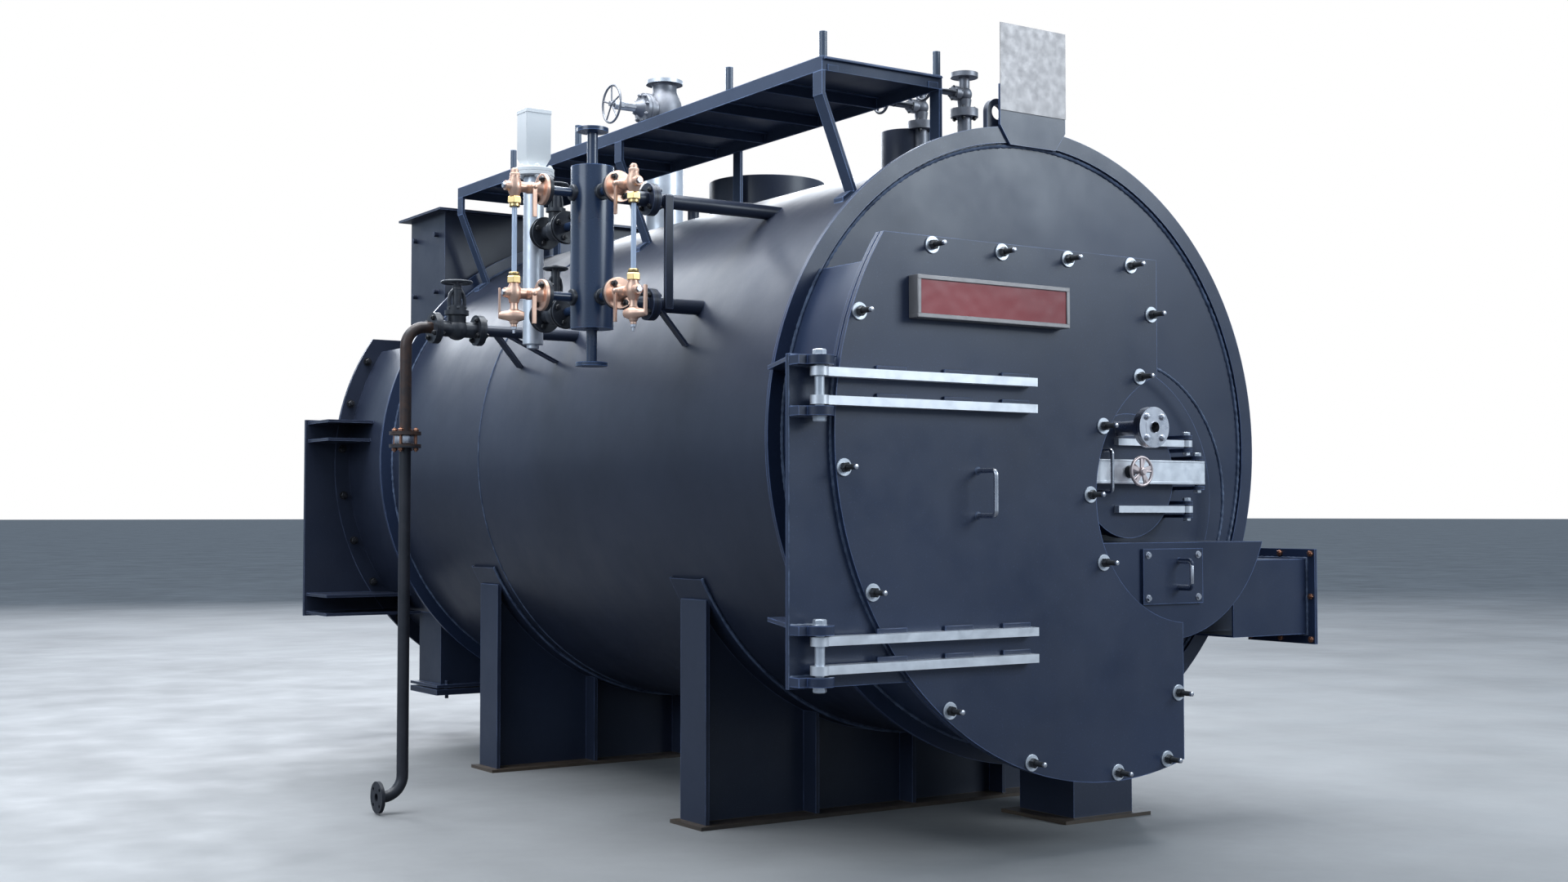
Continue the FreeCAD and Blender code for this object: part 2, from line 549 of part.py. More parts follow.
def make_air_duct():
    low_y = "(-faceSetback - ductReach)"
    low_z = "(axisHeight - ductTopDrop - ductHeight)"
    start_x = "(furnaceX + 300)"
    length = f"ductEndX - {start_x}"
    outer = box((length, "ductDepth", "ductHeight"), (start_x, low_y, low_z))
    lip = box(("ductFlange", "ductDepth + 2 * ductLip", "ductHeight + 2 * ductLip"),
              ("ductEndX", f"{low_y} - ductLip", f"{low_z} - ductLip"))
    inner = box((f"{length} + ductFlange", "ductDepth - 2 * ductWall", "ductHeight - 2 * ductWall"),
                (start_x, f"{low_y} + ductWall", f"{low_z} + ductWall"))
    ash = rod("ashRadius", "ashReach", ("furnaceX", "-faceSetback - ashReach", FURNACE_Z), "Y")
    holes = []
    for step_y in (0, 0.5, 1):
        for step_z in (0, 0.5, 1):
            if step_y == 0.5 and step_z == 0.5:
                continue
            y = f"{low_y} - ductBoltEdge + {step_y} * (ductDepth + 2 * ductBoltEdge)"
            z = f"{low_z} - ductBoltEdge + {step_z} * (ductHeight + 2 * ductBoltEdge)"
            holes.append(rod("ductBolt", "ductFlange", ("ductEndX", y, z), "X"))
    node("air_duct", cut(fuse(outer, lip), inner, ash, *holes))


def make_rear():
    box_y = REAR
    body = common(
        rod("shellRadius", "rearLength", (0, box_y, "axisHeight"), "Y"),
        box(("2 * shellRadius", "rearLength", "shellRadius + rearTopRise"),
            ("-shellRadius", box_y, "axisHeight - shellRadius")),
    )
    inner = "(shellRadius - smokeboxWall)"
    inner_top = "(rearTopRise - smokeboxWall)"
    hollow = common(
        rod(inner, "rearLength", (0, box_y, "axisHeight"), "Y"),
        box((f"2 * {inner}", "rearLength", f"{inner} + {inner_top}"),
            (f"-{inner}", box_y, f"axisHeight - {inner}")),
    )
    way_out = box(("2 * flueHalfWidth - 2 * flueWall", "flueDepth - 2 * flueWall", "2 * smokeboxWall"),
                  ("-flueHalfWidth + flueWall", "flueStation - faceSetback + flueWall",
                   "axisHeight + rearTopRise - 1.5 * smokeboxWall"))
    node("rear_smokebox", cut(body, hollow, way_out))
    door = common(
        rod("doorRadius", "rearDoorThick", (0, REAR_END, "axisHeight"), "Y"),
        box(("2 * doorRadius", "rearDoorThick", "doorRadius + rearDoorTop"),
            ("-doorRadius", REAR_END, "axisHeight - doorRadius")),
    )
    node("rear_door", door)
    plate = box(("hingePlateX - strapEndX", "rearDoorThick", "rearPlateTop + rearPlateDrop"),
                ("-hingePlateX", REAR_END, "axisHeight - rearPlateDrop"))
    parts = [cut(plate, rod("doorRadius", "rearDoorThick", (0, REAR_END, "axisHeight"), "Y"))]
    depth = "(rearLength / 2)"
    for rise in ("rearPlateTop - 14", "rearPlateTop - 95", "(-rearPlateDrop) + 95", "(-rearPlateDrop) + 14"):
        rib = box(("hingePlateX - gussetThick - rearFootX - ringThick", depth, "gussetThick"),
                  ("-hingePlateX + gussetThick", f"{REAR_END} - {depth}", f"axisHeight + {rise} - gussetThick / 2"))
        parts.append(cut(rib, rod("shellRadius", depth, (0, f"{REAR_END} - {depth}", "axisHeight"), "Y")))
    node("rear_hinge_plate", fuse(*parts))

    low_y = "(flueStation - faceSetback)"
    low_z = "(axisHeight + rearTopRise)"
    height = "(flueTopRise - rearTopRise)"
    outer = box(("2 * flueHalfWidth", "flueDepth", height), ("-flueHalfWidth", low_y, low_z))
    lip = box(("2 * flueHalfWidth + 2 * flueLip", "flueDepth + 2 * flueLip", "flueFlange"),
              ("-flueHalfWidth - flueLip", f"{low_y} - flueLip", "axisHeight + flueTopRise - flueFlange"))
    inner = box(("2 * flueHalfWidth - 2 * flueWall", "flueDepth - 2 * flueWall", height),
                ("-flueHalfWidth + flueWall", f"{low_y} + flueWall", f"{low_z} + flueWall"))
    node("flue_outlet", cut(fuse(outer, lip), inner))


def saddle(centre_y):
    half = "saddleHalfWidth"
    top = "(axisHeight - saddleTopDrop)"
    low_y = f"({centre_y} - saddleDepth / 2)"
    base = box((f"2 * {half} + 2 * baseOverhang", "baseDepth", "baseThick"),
               (f"-{half} - baseOverhang", f"{centre_y} - baseDepth / 2", 0))
    parts = []
    for side in (-1, 1):
        x = f"-{half}" if side < 0 else f"{half} - saddlePlate"
        parts.append(box(("saddlePlate", "saddleDepth", f"{top} - baseThick"), (x, low_y, "baseThick")))
    parts.append(box((f"2 * {half}", "saddlePlate", f"{top} - baseThick"),
                     (f"-{half}", f"{centre_y} - saddlePlate / 2", "baseThick")))
    for spot in (-1, 0, 1):
        parts.append(box(("saddlePlate", "saddleDepth", f"{top} - baseThick"),
                         (f"{spot} * ribX - saddlePlate / 2", low_y, "baseThick")))
    steel = cut(fuse(*parts), rod("shellRadius + wrapThick", "saddleDepth", (0, low_y, "axisHeight"), "Y"))
    wrap = cut(rod("shellRadius + wrapThick", "baseDepth", (0, f"{centre_y} - baseDepth / 2", "axisHeight"), "Y"),
               rod("shellRadius", "baseDepth", (0, f"{centre_y} - baseDepth / 2", "axisHeight"), "Y"),
               box(("2 * ringRadius", "baseDepth", "2 * ringRadius"),
                   ("-ringRadius", f"{centre_y} - baseDepth / 2", f"{top} + wrapRise + wrapRise")))
    return fuse(base, steel, wrap)


def make_feet():
    low_y = "(footStation - faceSetback)"
    base = box(("footWidth + 2 * footBaseLip", "footDepth + 2 * baseOverhang", "baseThick"),
               ("footX - footBaseLip", f"{low_y} - baseOverhang", 0))
    column = box(("footWidth", "footDepth", "axisHeight - furnaceDrop"), ("footX", low_y, "baseThick"))
    inside = box(("footWidth - 2 * saddlePlate", "footDepth - 2 * saddlePlate", "axisHeight"),
                 ("footX + saddlePlate", f"{low_y} + saddlePlate", "baseThick"))
    shell = rod("shellRadius", "footDepth", (0, low_y, "axisHeight"), "Y")
    node("front_foot", fuse(base, cut(column, inside, shell)))

    low_y = "(rearFootStation - faceSetback)"
    bottom = "(axisHeight - rearFootDrop)"
    column = box(("2 * rearFootX", "rearFootDepth", "rearFootDrop"), ("-rearFootX", low_y, bottom))
    hollow = box(("2 * rearFootX - 2 * saddlePlate", "rearFootDepth - 2 * saddlePlate", "rearFootDrop"),
                 ("-rearFootX + saddlePlate", f"{low_y} + saddlePlate", bottom))
    shell = rod("shellRadius", "rearFootDepth", (0, low_y, "axisHeight"), "Y")
    base = box(("2 * rearFootX + 2 * rearFootLip", "rearFootDepth + 2 * rearFootLip", "baseThick"),
               ("-rearFootX - rearFootLip", f"{low_y} - rearFootLip", f"{bottom} - baseThick"))
    parts = [cut(column, hollow, shell), base]
    for x in ("(-rearFootX - rearFootLip)", "(rearFootX + rearFootLip - slideLength)"):
        slide_top = f"({bottom} - baseThick - slideGap)"
        parts.append(box(("slideLength", "rearFootDepth + 2 * rearFootLip", "slideThick"),
                         (x, f"{low_y} - rearFootLip", f"{slide_top} - slideThick")))
        for along in (0.2, 0.8):
            parts.append(rod("studRadius", "baseThick + slideGap + slideThick + nutThick + nutThick",
                             (f"{x} + {along} * slideLength", f"{low_y} - rearFootLip / 2 + 8",
                              f"{slide_top} - slideThick - nutThick")))
    node("rear_foot", fuse(*parts))


def make_walkway():
    left, right = "(-deckLeftX)", "(-deckRightX)"
    width = "(deckLeftX - deckRightX)"
    low_y = "(deckStation - faceSetback)"
    low_z = "(axisHeight + deckRise - frameHeight)"
    edge = cut(box((width, "deckLength", "frameHeight"), (left, low_y, low_z)),
               box((f"{width} - 2 * frameThick", "deckLength - 2 * frameThick", "frameHeight"),
                   (f"{left} + frameThick", f"{low_y} + frameThick", low_z)))
    bearers = [box((f"{width} - 2 * frameThick", "frameThick", "frameHeight - deckThick"),
                   (f"{left} + frameThick", f"{low_y} + deckLength * {step} / 8", low_z))
               for step in range(1, 8)]
    node("walkway_frame", fuse(edge, *bearers))
    node("walkway_deck", box((f"{width} - 2 * frameThick", "deckLength - 2 * frameThick", "deckThick"),
                             (f"{left} + frameThick", f"{low_y} + frameThick",
                              "axisHeight + deckRise - deckThick")))
    legs = []
    foot_rise = "sqrt(shellRadius ^ 2 - legFootX ^ 2)"
    for share, right_share in ((0, 0), (0.475, 0.442), (1, 1)):
        y = f"({low_y} + {share} * (deckLength - legWidth) + legWidth / 2)"
        knee = f"({low_z} - legDrop)"
        upright = box(("legThick", "legWidth", "legDrop + 6"),
                      (left, f"{y} - legWidth / 2", f"{knee} - 6"))
        slope = strut((f"{left} + legThick / 2", y, knee), ("-legFootX", y, f"axisHeight + {foot_rise}"),
                      "legWidth", "legThick")
        pad = box(("2 * legWidth", "legWidth", "frameHeight"), ("-legFootX - legWidth", f"{y} - legWidth / 2",
                                                              f"axisHeight + {foot_rise} - frameHeight"))
        beyond = rod("shellRadius", "legWidth", (0, f"{y} - legWidth / 2", "axisHeight"), "Y")
        pad_limit = rod("shellRadius + legThick", "legWidth", (0, f"{y} - legWidth / 2", "axisHeight"), "Y")
        legs.append(cut(fuse(upright, slope, common(pad, pad_limit)), beyond))
        y = f"({low_y} + {right_share} * (deckLength - legWidth) + legWidth / 2)"
        foot = "sqrt(shellRadius ^ 2 - deckRightX ^ 2)"
        post = box(("legThick", "legWidth", f"deckRise - frameHeight - {foot} + legWidth"),
                   (f"{right} - legThick", f"{y} - legWidth / 2", f"axisHeight + {foot} - legWidth"))
        legs.append(cut(post, rod("shellRadius", "legWidth", (0, f"{y} - legWidth / 2", "axisHeight"), "Y")))
    node("walkway_legs", group(*legs))
    sockets = []
    for x in (f"{left} + postRadius", f"{right} - postRadius"):
        for share in (0, 0.2, 0.6, 0.81):
            y = f"{low_y} + postRadius + {share} * (deckLength - 2 * postRadius)"
            sockets.append(tube("postRadius", "postRadius - postWall", "postHeight",
                                (x, y, "axisHeight + deckRise")))
    node("handrail_sockets", group(*sockets))


def flanged_neck(radius, flange, y, rise):
    z = "(axisHeight + shellRadius - 60)"
    neck = rod(radius, f"axisHeight + {rise} - {z}", (0, y, z))
    parts = [neck]
    if flange:
        parts.append(rod(flange, "flangeThin", (0, y, f"axisHeight + {rise} - flangeThin")))
    inside = rod("shellRadius", f"2 * ({flange or radius})", (0, f"{y} - ({flange or radius})", "axisHeight"), "Y")
    return cut(fuse(*parts) if flange else neck, inside)


def angle_valve(at_y, base_rise, height, flange, wheel_x, neck):
    """An upright valve body between two flanges, with its bonnet towards -X."""
    base = f"(axisHeight + {base_rise})"
    middle = f"({base} + {height} * 0.48)"
    return fuse(
        rod(flange, "flangeThin + 4", (0, at_y, base)),
        cone(f"{neck} * 0.7", f"{neck} * 0.95", f"{height} * 0.35", (0, at_y, base)),
        ball(f"{neck} * 1.02", (0, at_y, middle)),
        rod(f"{neck} * 0.7", f"{height} * 0.5", (0, at_y, middle)),
        rod(flange, "flangeThin + 4", (0, at_y, f"{base} + {height} - flangeThin - 4")),
        rod(f"{neck} * 0.72", f"{neck} * 1.15", (0, at_y, middle), "-X"),
        rod(f"{neck} * 0.95", 20, (f"-{neck} * 1.1", at_y, middle), "-X"),
        rod(f"{neck} * 0.42", f"{wheel_x} - {neck} * 1.2 - wheelGap", (f"-{neck} * 1.2", at_y, middle), "-X"),
    )


def make_top_fittings():
    steam_y = "(steamStation - faceSetback)"
    node("steam_nozzle", flanged_neck("steamNeck", "", steam_y, "steamValveRise"))
    valve = angle_valve(steam_y, "steamValveRise", "steamValveHeight", "steamFlange", "steamWheelX",
                        "(steamFlange * 0.6)")
    bore = rod("steamFlange * 0.33", 60, (0, steam_y, "axisHeight + steamValveRise + steamValveHeight - 60"))
    bolt_circle = 62
    holes = [rod("steamBolt", "flangeThin + 4",
                 (f"{bolt_circle * math.cos(math.radians(45 + 90 * k)):.4f}",
                  f"{steam_y} + {bolt_circle * math.sin(math.radians(45 + 90 * k)):.4f}",
                  "axisHeight + steamValveRise + steamValveHeight - flangeThin - 4")) for k in range(4)]
    node("steam_valve", cut(valve, bore, *holes))
    steam_mid = "(axisHeight + steamValveRise + steamValveHeight * 0.48)"
    node("steam_valve_wheel", hand_wheel("steamWheel", ("-steamWheelX", steam_y, steam_mid), "-X"))

    node("top_necks", group(
        flanged_neck("manholeRadius", "", "(manholeStation - faceSetback)", "manholeRise"),
        flanged_neck("smallPipe", "smallFlange", "(nozzleStation - faceSetback)", "smallNozzleRise"),
        flanged_neck("neckRadius", "", "(neckStation - faceSetback)", "neckRise"),
    ))
    valves = []
    wheels = []
    for number in (0, 1):
        y = f"(topValveStation + {number} * topValvePitch - faceSetback)"
        stub = rod("smallPipe", "topValveRise - shellRadius + 20",
                   (0, y, "axisHeight + shellRadius - 20"))
        mating = rod("topFlange", "flangeThin", (0, y, "axisHeight + topValveRise - flangeThin"))
        clear = rod("shellRadius", 60, (0, f"{y} - 30", "axisHeight"), "Y")
        body = angle_valve(y, "topValveRise", "topValveHeight", "topFlange", "topWheelX", "(topFlange * 0.55)")
        parts = [stub, mating, body]
        tools = [clear]
        if number == 1:
            tools.append(rod("neckRadius", "neckRise", (0, "(neckStation - faceSetback)", "axisHeight")))
        valves.append(cut(fuse(*parts), *tools))
        middle = "(axisHeight + topValveRise + topValveHeight * 0.48)"
        wheels.append(hand_wheel("topWheel", ("-topWheelX", y, middle), "-X"))
    node("top_valves", group(*valves))
    for number, wheel in enumerate(wheels, start=1):
        node(f"top_valve_wheel_{number}", wheel)


def shell_x(rise):
    return f"sqrt(shellRadius ^ 2 - ({rise}) ^ 2)"


def make_level_fittings():
    low = "(axisHeight + columnLowRise)"
    drum = rod("columnRadius", "columnHeight", ("-columnX", COLUMN_Y, low))
    column = [drum,
              rod("smallPipe * 0.7", "columnStubLow", ("-columnX", COLUMN_Y, f"{low} - columnStubLow")),
              rod("columnFlange", "flangeThin", ("-columnX", COLUMN_Y, f"{low} - columnStubLow - flangeThin")),
              rod("smallPipe * 0.7", "columnStubHigh", ("-columnX", COLUMN_Y, f"{low} + columnHeight")),
              rod("columnFlange", "flangeThin",
                  ("-columnX", COLUMN_Y, f"{low} + columnHeight + columnStubHigh"))]
    for rise in ("glassUpperRise", "glassLowerRise"):
        z = f"(axisHeight + {rise})"
        reach = "(glassFlangeReach - flangeThin)"
        column.append(rod("glassStub", reach, ("-columnX", COLUMN_Y, z), "-X"))
        column.append(rod("glassStub", reach, ("-columnX", COLUMN_Y, z), "-Y"))
    for rise in ("isolatorUpperRise", "isolatorLowerRise"):
        z = f"(axisHeight + {rise})"
        column.append(rod("glassStub", "isolatorReach - 75 - flangeThin", ("-columnX", COLUMN_Y, z), "Y"))
    node("water_column", fuse(*column))

    pipes = []
    for rise in ("upperLevelRise", "lowerLevelRise"):
        z = f"(axisHeight + {rise})"
        run = rod("levelPipe", f"columnX - {shell_x(rise)} + levelPipe",
                  (f"-columnX", COLUMN_Y, z), "X")
        flange = rod("levelFlange", "2 * flangeThin + 4", ("-levelFlangeX - flangeThin - 2", COLUMN_Y, z), "X")
        pipes += [run, flange]
    upright = box(("strutWidth", "strutWidth / 2", "upperLevelRise - lowerLevelRise"),
                  ("-strutX - strutWidth / 2", f"{COLUMN_Y} - levelPipe - strutWidth / 2",
                   "axisHeight + lowerLevelRise"))
    tie = box(("strutWidth", "levelPipe + strutWidth / 2", "strutWidth"),
              ("-strutX - strutWidth / 2", f"{COLUMN_Y} - levelPipe - strutWidth / 2",
               "axisHeight + lowerLevelRise - strutWidth / 2"))
    tie_top = box(("strutWidth", "levelPipe + strutWidth / 2", "strutWidth"),
                  ("-strutX - strutWidth / 2", f"{COLUMN_Y} - levelPipe - strutWidth / 2",
                   "axisHeight + upperLevelRise - strutWidth / 2"))
    brace = strut(("-strutX - strutWidth", COLUMN_Y, "axisHeight + lowerLevelRise"),
                  ("-" + shell_x("lowerLevelRise - 125"), COLUMN_Y, "axisHeight + lowerLevelRise - 125"),
                  "strutWidth", "strutWidth / 3")
    steel = fuse(*pipes, upright, tie, tie_top, brace)
    drum_space = rod("columnRadius", "columnHeight", ("-columnX", COLUMN_Y, low))
    inside = rod("shellRadius", 300, (0, f"{COLUMN_Y} - 150", "axisHeight"), "Y")
    node("level_pipes", cut(steel, drum_space, inside))

    cocks = []
    glasses = []
    for direction in ("-X", "-Y"):
        def out(distance, shift=0):
            x = f"-columnX - ({distance})" if direction == "-X" else "-columnX"
            y = COLUMN_Y if direction == "-X" else f"{COLUMN_Y} - ({distance})"
            return x, y
        for rise in ("glassUpperRise", "glassLowerRise"):
            z = f"(axisHeight + {rise})"
            upper = rise == "glassUpperRise"
            x0, y0 = out("glassFlangeReach - flangeThin")
            x1, y1 = out("glassReach")
            parts = [rod("glassFlange", "flangeThin", (x0, y0, z), direction),
                     rod("cockBody * 0.8", "glassReach - glassFlangeReach + flangeThin + cockBody + 8",
                         (x0, y0, z), direction),
                     rod("cockBody", "cockBody * 2.4", (x1, y1, f"{z} - cockBody * 1.2")),
                     hexagon("cockBody + 2", "cockBody",
                             (x1, y1, f"{z} - cockBody * 2.6" if upper else f"{z} + cockBody * 1.6")),
                     rod("cockBody * 0.7", "cockBody * 2",
                         (x1, y1, f"{z} + cockBody" if upper else f"{z} - cockBody * 3")),
                     rod("cockBody * 0.8", "cockBody * 3",
                         (x1, y1, f"{z} - cockBody * 2" if upper else f"{z} - cockBody * 0.5"))]
            if not upper:
                parts.append(ball("cockBody * 1.1", (x1, y1, f"{z} - cockBody * 3.4")))
                parts.append(rod("cockBody * 0.6", "cockBody * 2.6", (x1, y1, f"{z} - cockBody * 6")))
            cocks.append(fuse(*parts))
        x1, y1 = out("glassReach")
        glasses.append(rod("glassRadius", "glassUpperRise - glassLowerRise - cockBody * 5.6 + 0.2 * cockBody",
                           (x1, y1, "axisHeight + glassLowerRise + cockBody * 2.6")))
    node("gauge_cocks", group(*cocks))
    node("gauge_glasses", group(*glasses))


def make_level_controller():
    y = f"({COLUMN_Y} + controllerReach)"
    low = "(axisHeight + controllerLowRise)"
    chamber = [rod("controllerRadius", "controllerHeight", ("-columnX", y, low)),
               rod("controllerRadius * 0.6", 14, ("-columnX", y, f"{low} - 14")),
               rod("controllerFlange", "2 * flangeThin + 2", ("-columnX", y, f"{low} + controllerHeight"))]
    side = "controllerBox"
    chamber.append(box((side, f"{side} * 0.8", "controllerBoxHeight"),
                       (f"-columnX - {side} / 2", f"{y} - {side} * 0.4",
                        f"{low} + controllerHeight + 2 * flangeThin + 2")))
    node("level_controller", fuse(*chamber))

    valves = []
    for number, rise in enumerate(("isolatorUpperRise", "isolatorLowerRise")):
        z = f"(axisHeight + {rise})"
        mid = f"({COLUMN_Y} + isolatorReach)"
        parts = [
            rod("isolatorFlange", "2 * flangeThin", ("-columnX", f"{mid} - 75 - flangeThin", z), "Y"),
            rod("isolatorFlange", "2 * flangeThin", ("-columnX", f"{mid} + 75 - flangeThin", z), "Y"),
            rod("isolatorFlange * 0.45", "150", ("-columnX", f"{mid} - 75", z), "Y"),
            ball("isolatorFlange * 0.68", ("-columnX", mid, z)),
            rod("isolatorFlange * 0.45", "isolatorWheelRise * 0.45", ("-columnX", mid, z)),
            rod("isolatorFlange * 0.62", 12, ("-columnX", mid, f"{z} + isolatorWheelRise * 0.4")),
            rod("isolatorFlange * 0.28", "isolatorWheelRise * 0.6 - wheelGap", ("-columnX", mid, f"{z} + isolatorWheelRise * 0.4")),
            rod("glassStub", "controllerReach - isolatorReach - 75", ("-columnX", f"{mid} + 75", z), "Y"),
        ]
        chamber_space = rod("controllerRadius", "controllerHeight", ("-columnX", y, low))
        valves.append(cut(fuse(*parts), chamber_space))
        wheel_z = f"({z} + isolatorWheelRise)"
        node(f"isolator_wheel_{number + 1}", hand_wheel("isolatorWheel", ("-columnX", mid, wheel_z), "Z"))
    node("isolating_valves", group(*valves))


def make_feed_line():
    z = "(axisHeight + feedRise)"
    middle = "(-feedValveX)"
    body = [
        rod("feedFlange", "2 * flangeThin", (f"{middle} - feedFlangeX - flangeThin", FEED_Y, z), "X"),
        rod("feedFlange", "2 * flangeThin", (f"{middle} + feedFlangeX - flangeThin", FEED_Y, z), "X"),
        rod("feedPipe + 8", "2 * feedFlangeX", (f"{middle} - feedFlangeX", FEED_Y, z), "X"),
        ball("feedFlange * 0.72", (middle, FEED_Y, z)),
        rod("feedFlange * 0.6", "feedWheelRise * 0.5", (middle, FEED_Y, z)),
        rod("feedFlange * 0.78", 16, (middle, FEED_Y, f"{z} + feedWheelRise * 0.3")),
        rod("feedFlange * 0.3", "feedWheelRise * 0.62 - wheelGap", (middle, FEED_Y, f"{z} + feedWheelRise * 0.38")),
    ]
    node("feed_valve", fuse(*body))
    node("feed_valve_wheel", hand_wheel("feedWheel", (middle, FEED_Y, f"{z} + feedWheelRise"), "Z"))

    inlet_x = f"{middle} + feedFlangeX + flangeThin"
    inlet = rod("feedPipe", f"feedValveX - feedFlangeX - flangeThin - {shell_x('feedRise')} + feedPipe",
                (inlet_x, FEED_Y, z), "X")
    brace_near = strut(("-feedValveX + feedFlangeX + 90", FEED_Y, z),
                       ("-" + shell_x("feedRise - 90"), f"{FEED_Y} + 85", f"{z} - 90"), "strutWidth", "strutWidth / 3")
    brace_far = strut(("-feedValveX + feedFlangeX + 60", FEED_Y, z),
                      ("-" + shell_x("feedRise - 88"), f"{FEED_Y} + 390", f"{z} - 88"), "strutWidth", "strutWidth / 3")
    inside = rod("shellRadius", 700, (0, f"{FEED_Y} - 100", "axisHeight"), "Y")
    node("feed_inlet_pipe", cut(fuse(inlet, brace_near, brace_far), inside))

    corner_x = "(-feedDropX + feedBend)"
    start = f"{middle} - feedFlangeX - flangeThin"
    end_z = "feedEndHeight"
    top_bend = bend("feedBend", "feedPipe", (corner_x, FEED_Y, f"{z} - feedBend"),
                    Rotation(Vector(0, 0, 1), Vector(-1, 0, 0), Vector(0, -1, 0), "XYZ"))
    low_bend = bend("feedBend", "feedPipe", ("-feedDropX - feedBend", FEED_Y, f"{end_z} + feedBend"),
                    Rotation(Vector(1, 0, 0), Vector(0, 0, -1), Vector(0, 1, 0), "XYZ"))
    run = rod("feedPipe", f"({start}) - {corner_x}", (corner_x, FEED_Y, z), "X")
    drop = rod("feedPipe", f"{z} - feedBend - {end_z} - feedBend", ("-feedDropX", FEED_Y, f"{end_z} + feedBend"))
    joint = rod("feedFlange", "flangeThin", ("-feedDropX", FEED_Y, "axisHeight + feedJointRise - 22"))
    joint_top = rod("feedFlange", "flangeThin", ("-feedDropX", FEED_Y, "axisHeight + feedJointRise + 22"))
    tail = rod("feedPipe", "feedEndX - feedDropX - feedBend", ("-feedEndX", FEED_Y, end_z), "X")
    end_flange = rod("feedFlange", "flangeThin", ("-feedEndX", FEED_Y, end_z), "X")
    bore = rod("feedBore", 60, ("-feedEndX", FEED_Y, end_z), "X")
    circle = 38
    holes = [rod("ductBolt", "flangeThin",
                 ("-feedEndX", f"{FEED_Y} + {circle * math.cos(math.radians(45 + 90 * k)):.4f}",
                  f"{end_z} + {circle * math.sin(math.radians(45 + 90 * k)):.4f}"), "X") for k in range(4)]
    node("feed_pipe", cut(fuse(run, top_bend, drop, joint, joint_top, low_bend, tail, end_flange), bore, *holes))


def make_name_board():
    plate_low = "(axisHeight + shellRadius - 11)"
    sheet_y = "(-faceSetback - boardThick)"
    node("name_board", box(("2 * boardHalfWidth", "boardThick", "boardHeight"),
                           ("-boardHalfWidth", f"{sheet_y} - boardPlate", "axisHeight + boardLowRise")))
    back = f"({FACE} - boardPlate)"
    bracket = box(("2 * boardHalfWidth", "boardPlate", f"axisHeight + boardLowRise + boardHeight * 0.3 - {plate_low}"),
                  ("-boardHalfWidth", back, plate_low))
    knee = "(axisHeight + boardLowRise - bracketKnee)"
    corner_right = beyond(("boardHalfWidth", back, knee), ("bracketFoot", back, plate_low), "boardHeight", "boardPlate")
    corner_left = beyond(("-bracketFoot", back, plate_low), ("-boardHalfWidth", back, knee), "boardHeight", "boardPlate")
    node("board_bracket", cut(bracket, corner_right, corner_left))
    eye = rod("lugRadius", "lugPlate", ("-lugX", f"{FACE} + ringThick + 4", "axisHeight + lugRise"), "Y")
    web = box(("2 * lugRadius", "lugPlate", "lugRise - shellRadius + 40"),
              ("-lugX - lugRadius", f"{FACE} + ringThick + 4", "axisHeight + shellRadius - 40"))
    hole = rod("lugHole", "lugPlate", ("-lugX", f"{FACE} + ringThick + 4", "axisHeight + lugRise"), "Y")
    shell = rod("shellRadius", "lugPlate", (0, f"{FACE} + ringThick + 4", "axisHeight"), "Y")
    node("lifting_lug", cut(fuse(eye, web), hole, shell))


make_shell()
make_front_smokebox()
make_smokebox_door()
make_door_hinges()
make_furnace_mouth()
make_fire_door()
make_fire_door_hinge()
make_clamp_bar()
make_ash_box()
make_air_duct()
make_rear()
node("saddles", group(saddle("(0)"), saddle("(saddlePitch)")))
make_feet()
make_walkway()
make_top_fittings()
make_level_fittings()
make_level_controller()
make_feed_line()
make_name_board()
doc.recompute()

for item in doc.Objects:
    if {"Invalid", "Error"} & set(item.State):
        raise RuntimeError(f"{item.Name} ({item.Label}) failed: {item.State}")
os.makedirs("parts", exist_ok=True)
for piece in NODES:
    shape = piece.Shape
    if shape.isNull() or not shape.isValid() or not shape.Solids:
        raise RuntimeError(f"{piece.Label} is not a valid solid")
    shape.exportStep(f"parts/{piece.Label}.step")
    print(f"{piece.Label}: {len(shape.Solids)} solids, {shape.Volume / 1e6:.3f} litres")
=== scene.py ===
"""Finish and detail for the fire-tube boiler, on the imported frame."""
import math

import bmesh
import bpy
from mathutils import Matrix, Vector, noise


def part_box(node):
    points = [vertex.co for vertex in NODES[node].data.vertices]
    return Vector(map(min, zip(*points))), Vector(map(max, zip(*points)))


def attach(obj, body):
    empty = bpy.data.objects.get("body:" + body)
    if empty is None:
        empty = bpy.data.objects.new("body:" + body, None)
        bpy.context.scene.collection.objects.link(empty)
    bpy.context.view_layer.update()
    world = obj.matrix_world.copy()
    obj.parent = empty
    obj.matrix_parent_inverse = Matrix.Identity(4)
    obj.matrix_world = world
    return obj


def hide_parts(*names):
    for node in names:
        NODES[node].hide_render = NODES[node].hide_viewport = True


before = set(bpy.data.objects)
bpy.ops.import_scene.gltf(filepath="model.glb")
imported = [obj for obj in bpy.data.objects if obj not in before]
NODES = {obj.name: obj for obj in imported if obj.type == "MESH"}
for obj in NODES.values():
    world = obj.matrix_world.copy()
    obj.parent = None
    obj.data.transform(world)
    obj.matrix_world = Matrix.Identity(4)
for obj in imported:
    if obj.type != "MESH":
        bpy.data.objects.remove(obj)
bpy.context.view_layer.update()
AXIS_Z = sum(corner.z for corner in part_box("shell")) / 2
FACE_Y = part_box("end_rings")[0].y
SHELL_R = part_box("shell")[1].x
REAR_RING_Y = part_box("end_rings")[1].y
OUT, BACK = Vector((0, -1, 0)), Vector((0, 1, 0))
LEFT, RIGHT = Vector((-1, 0, 0)), Vector((1, 0, 0))
UP = Vector((0, 0, 1))

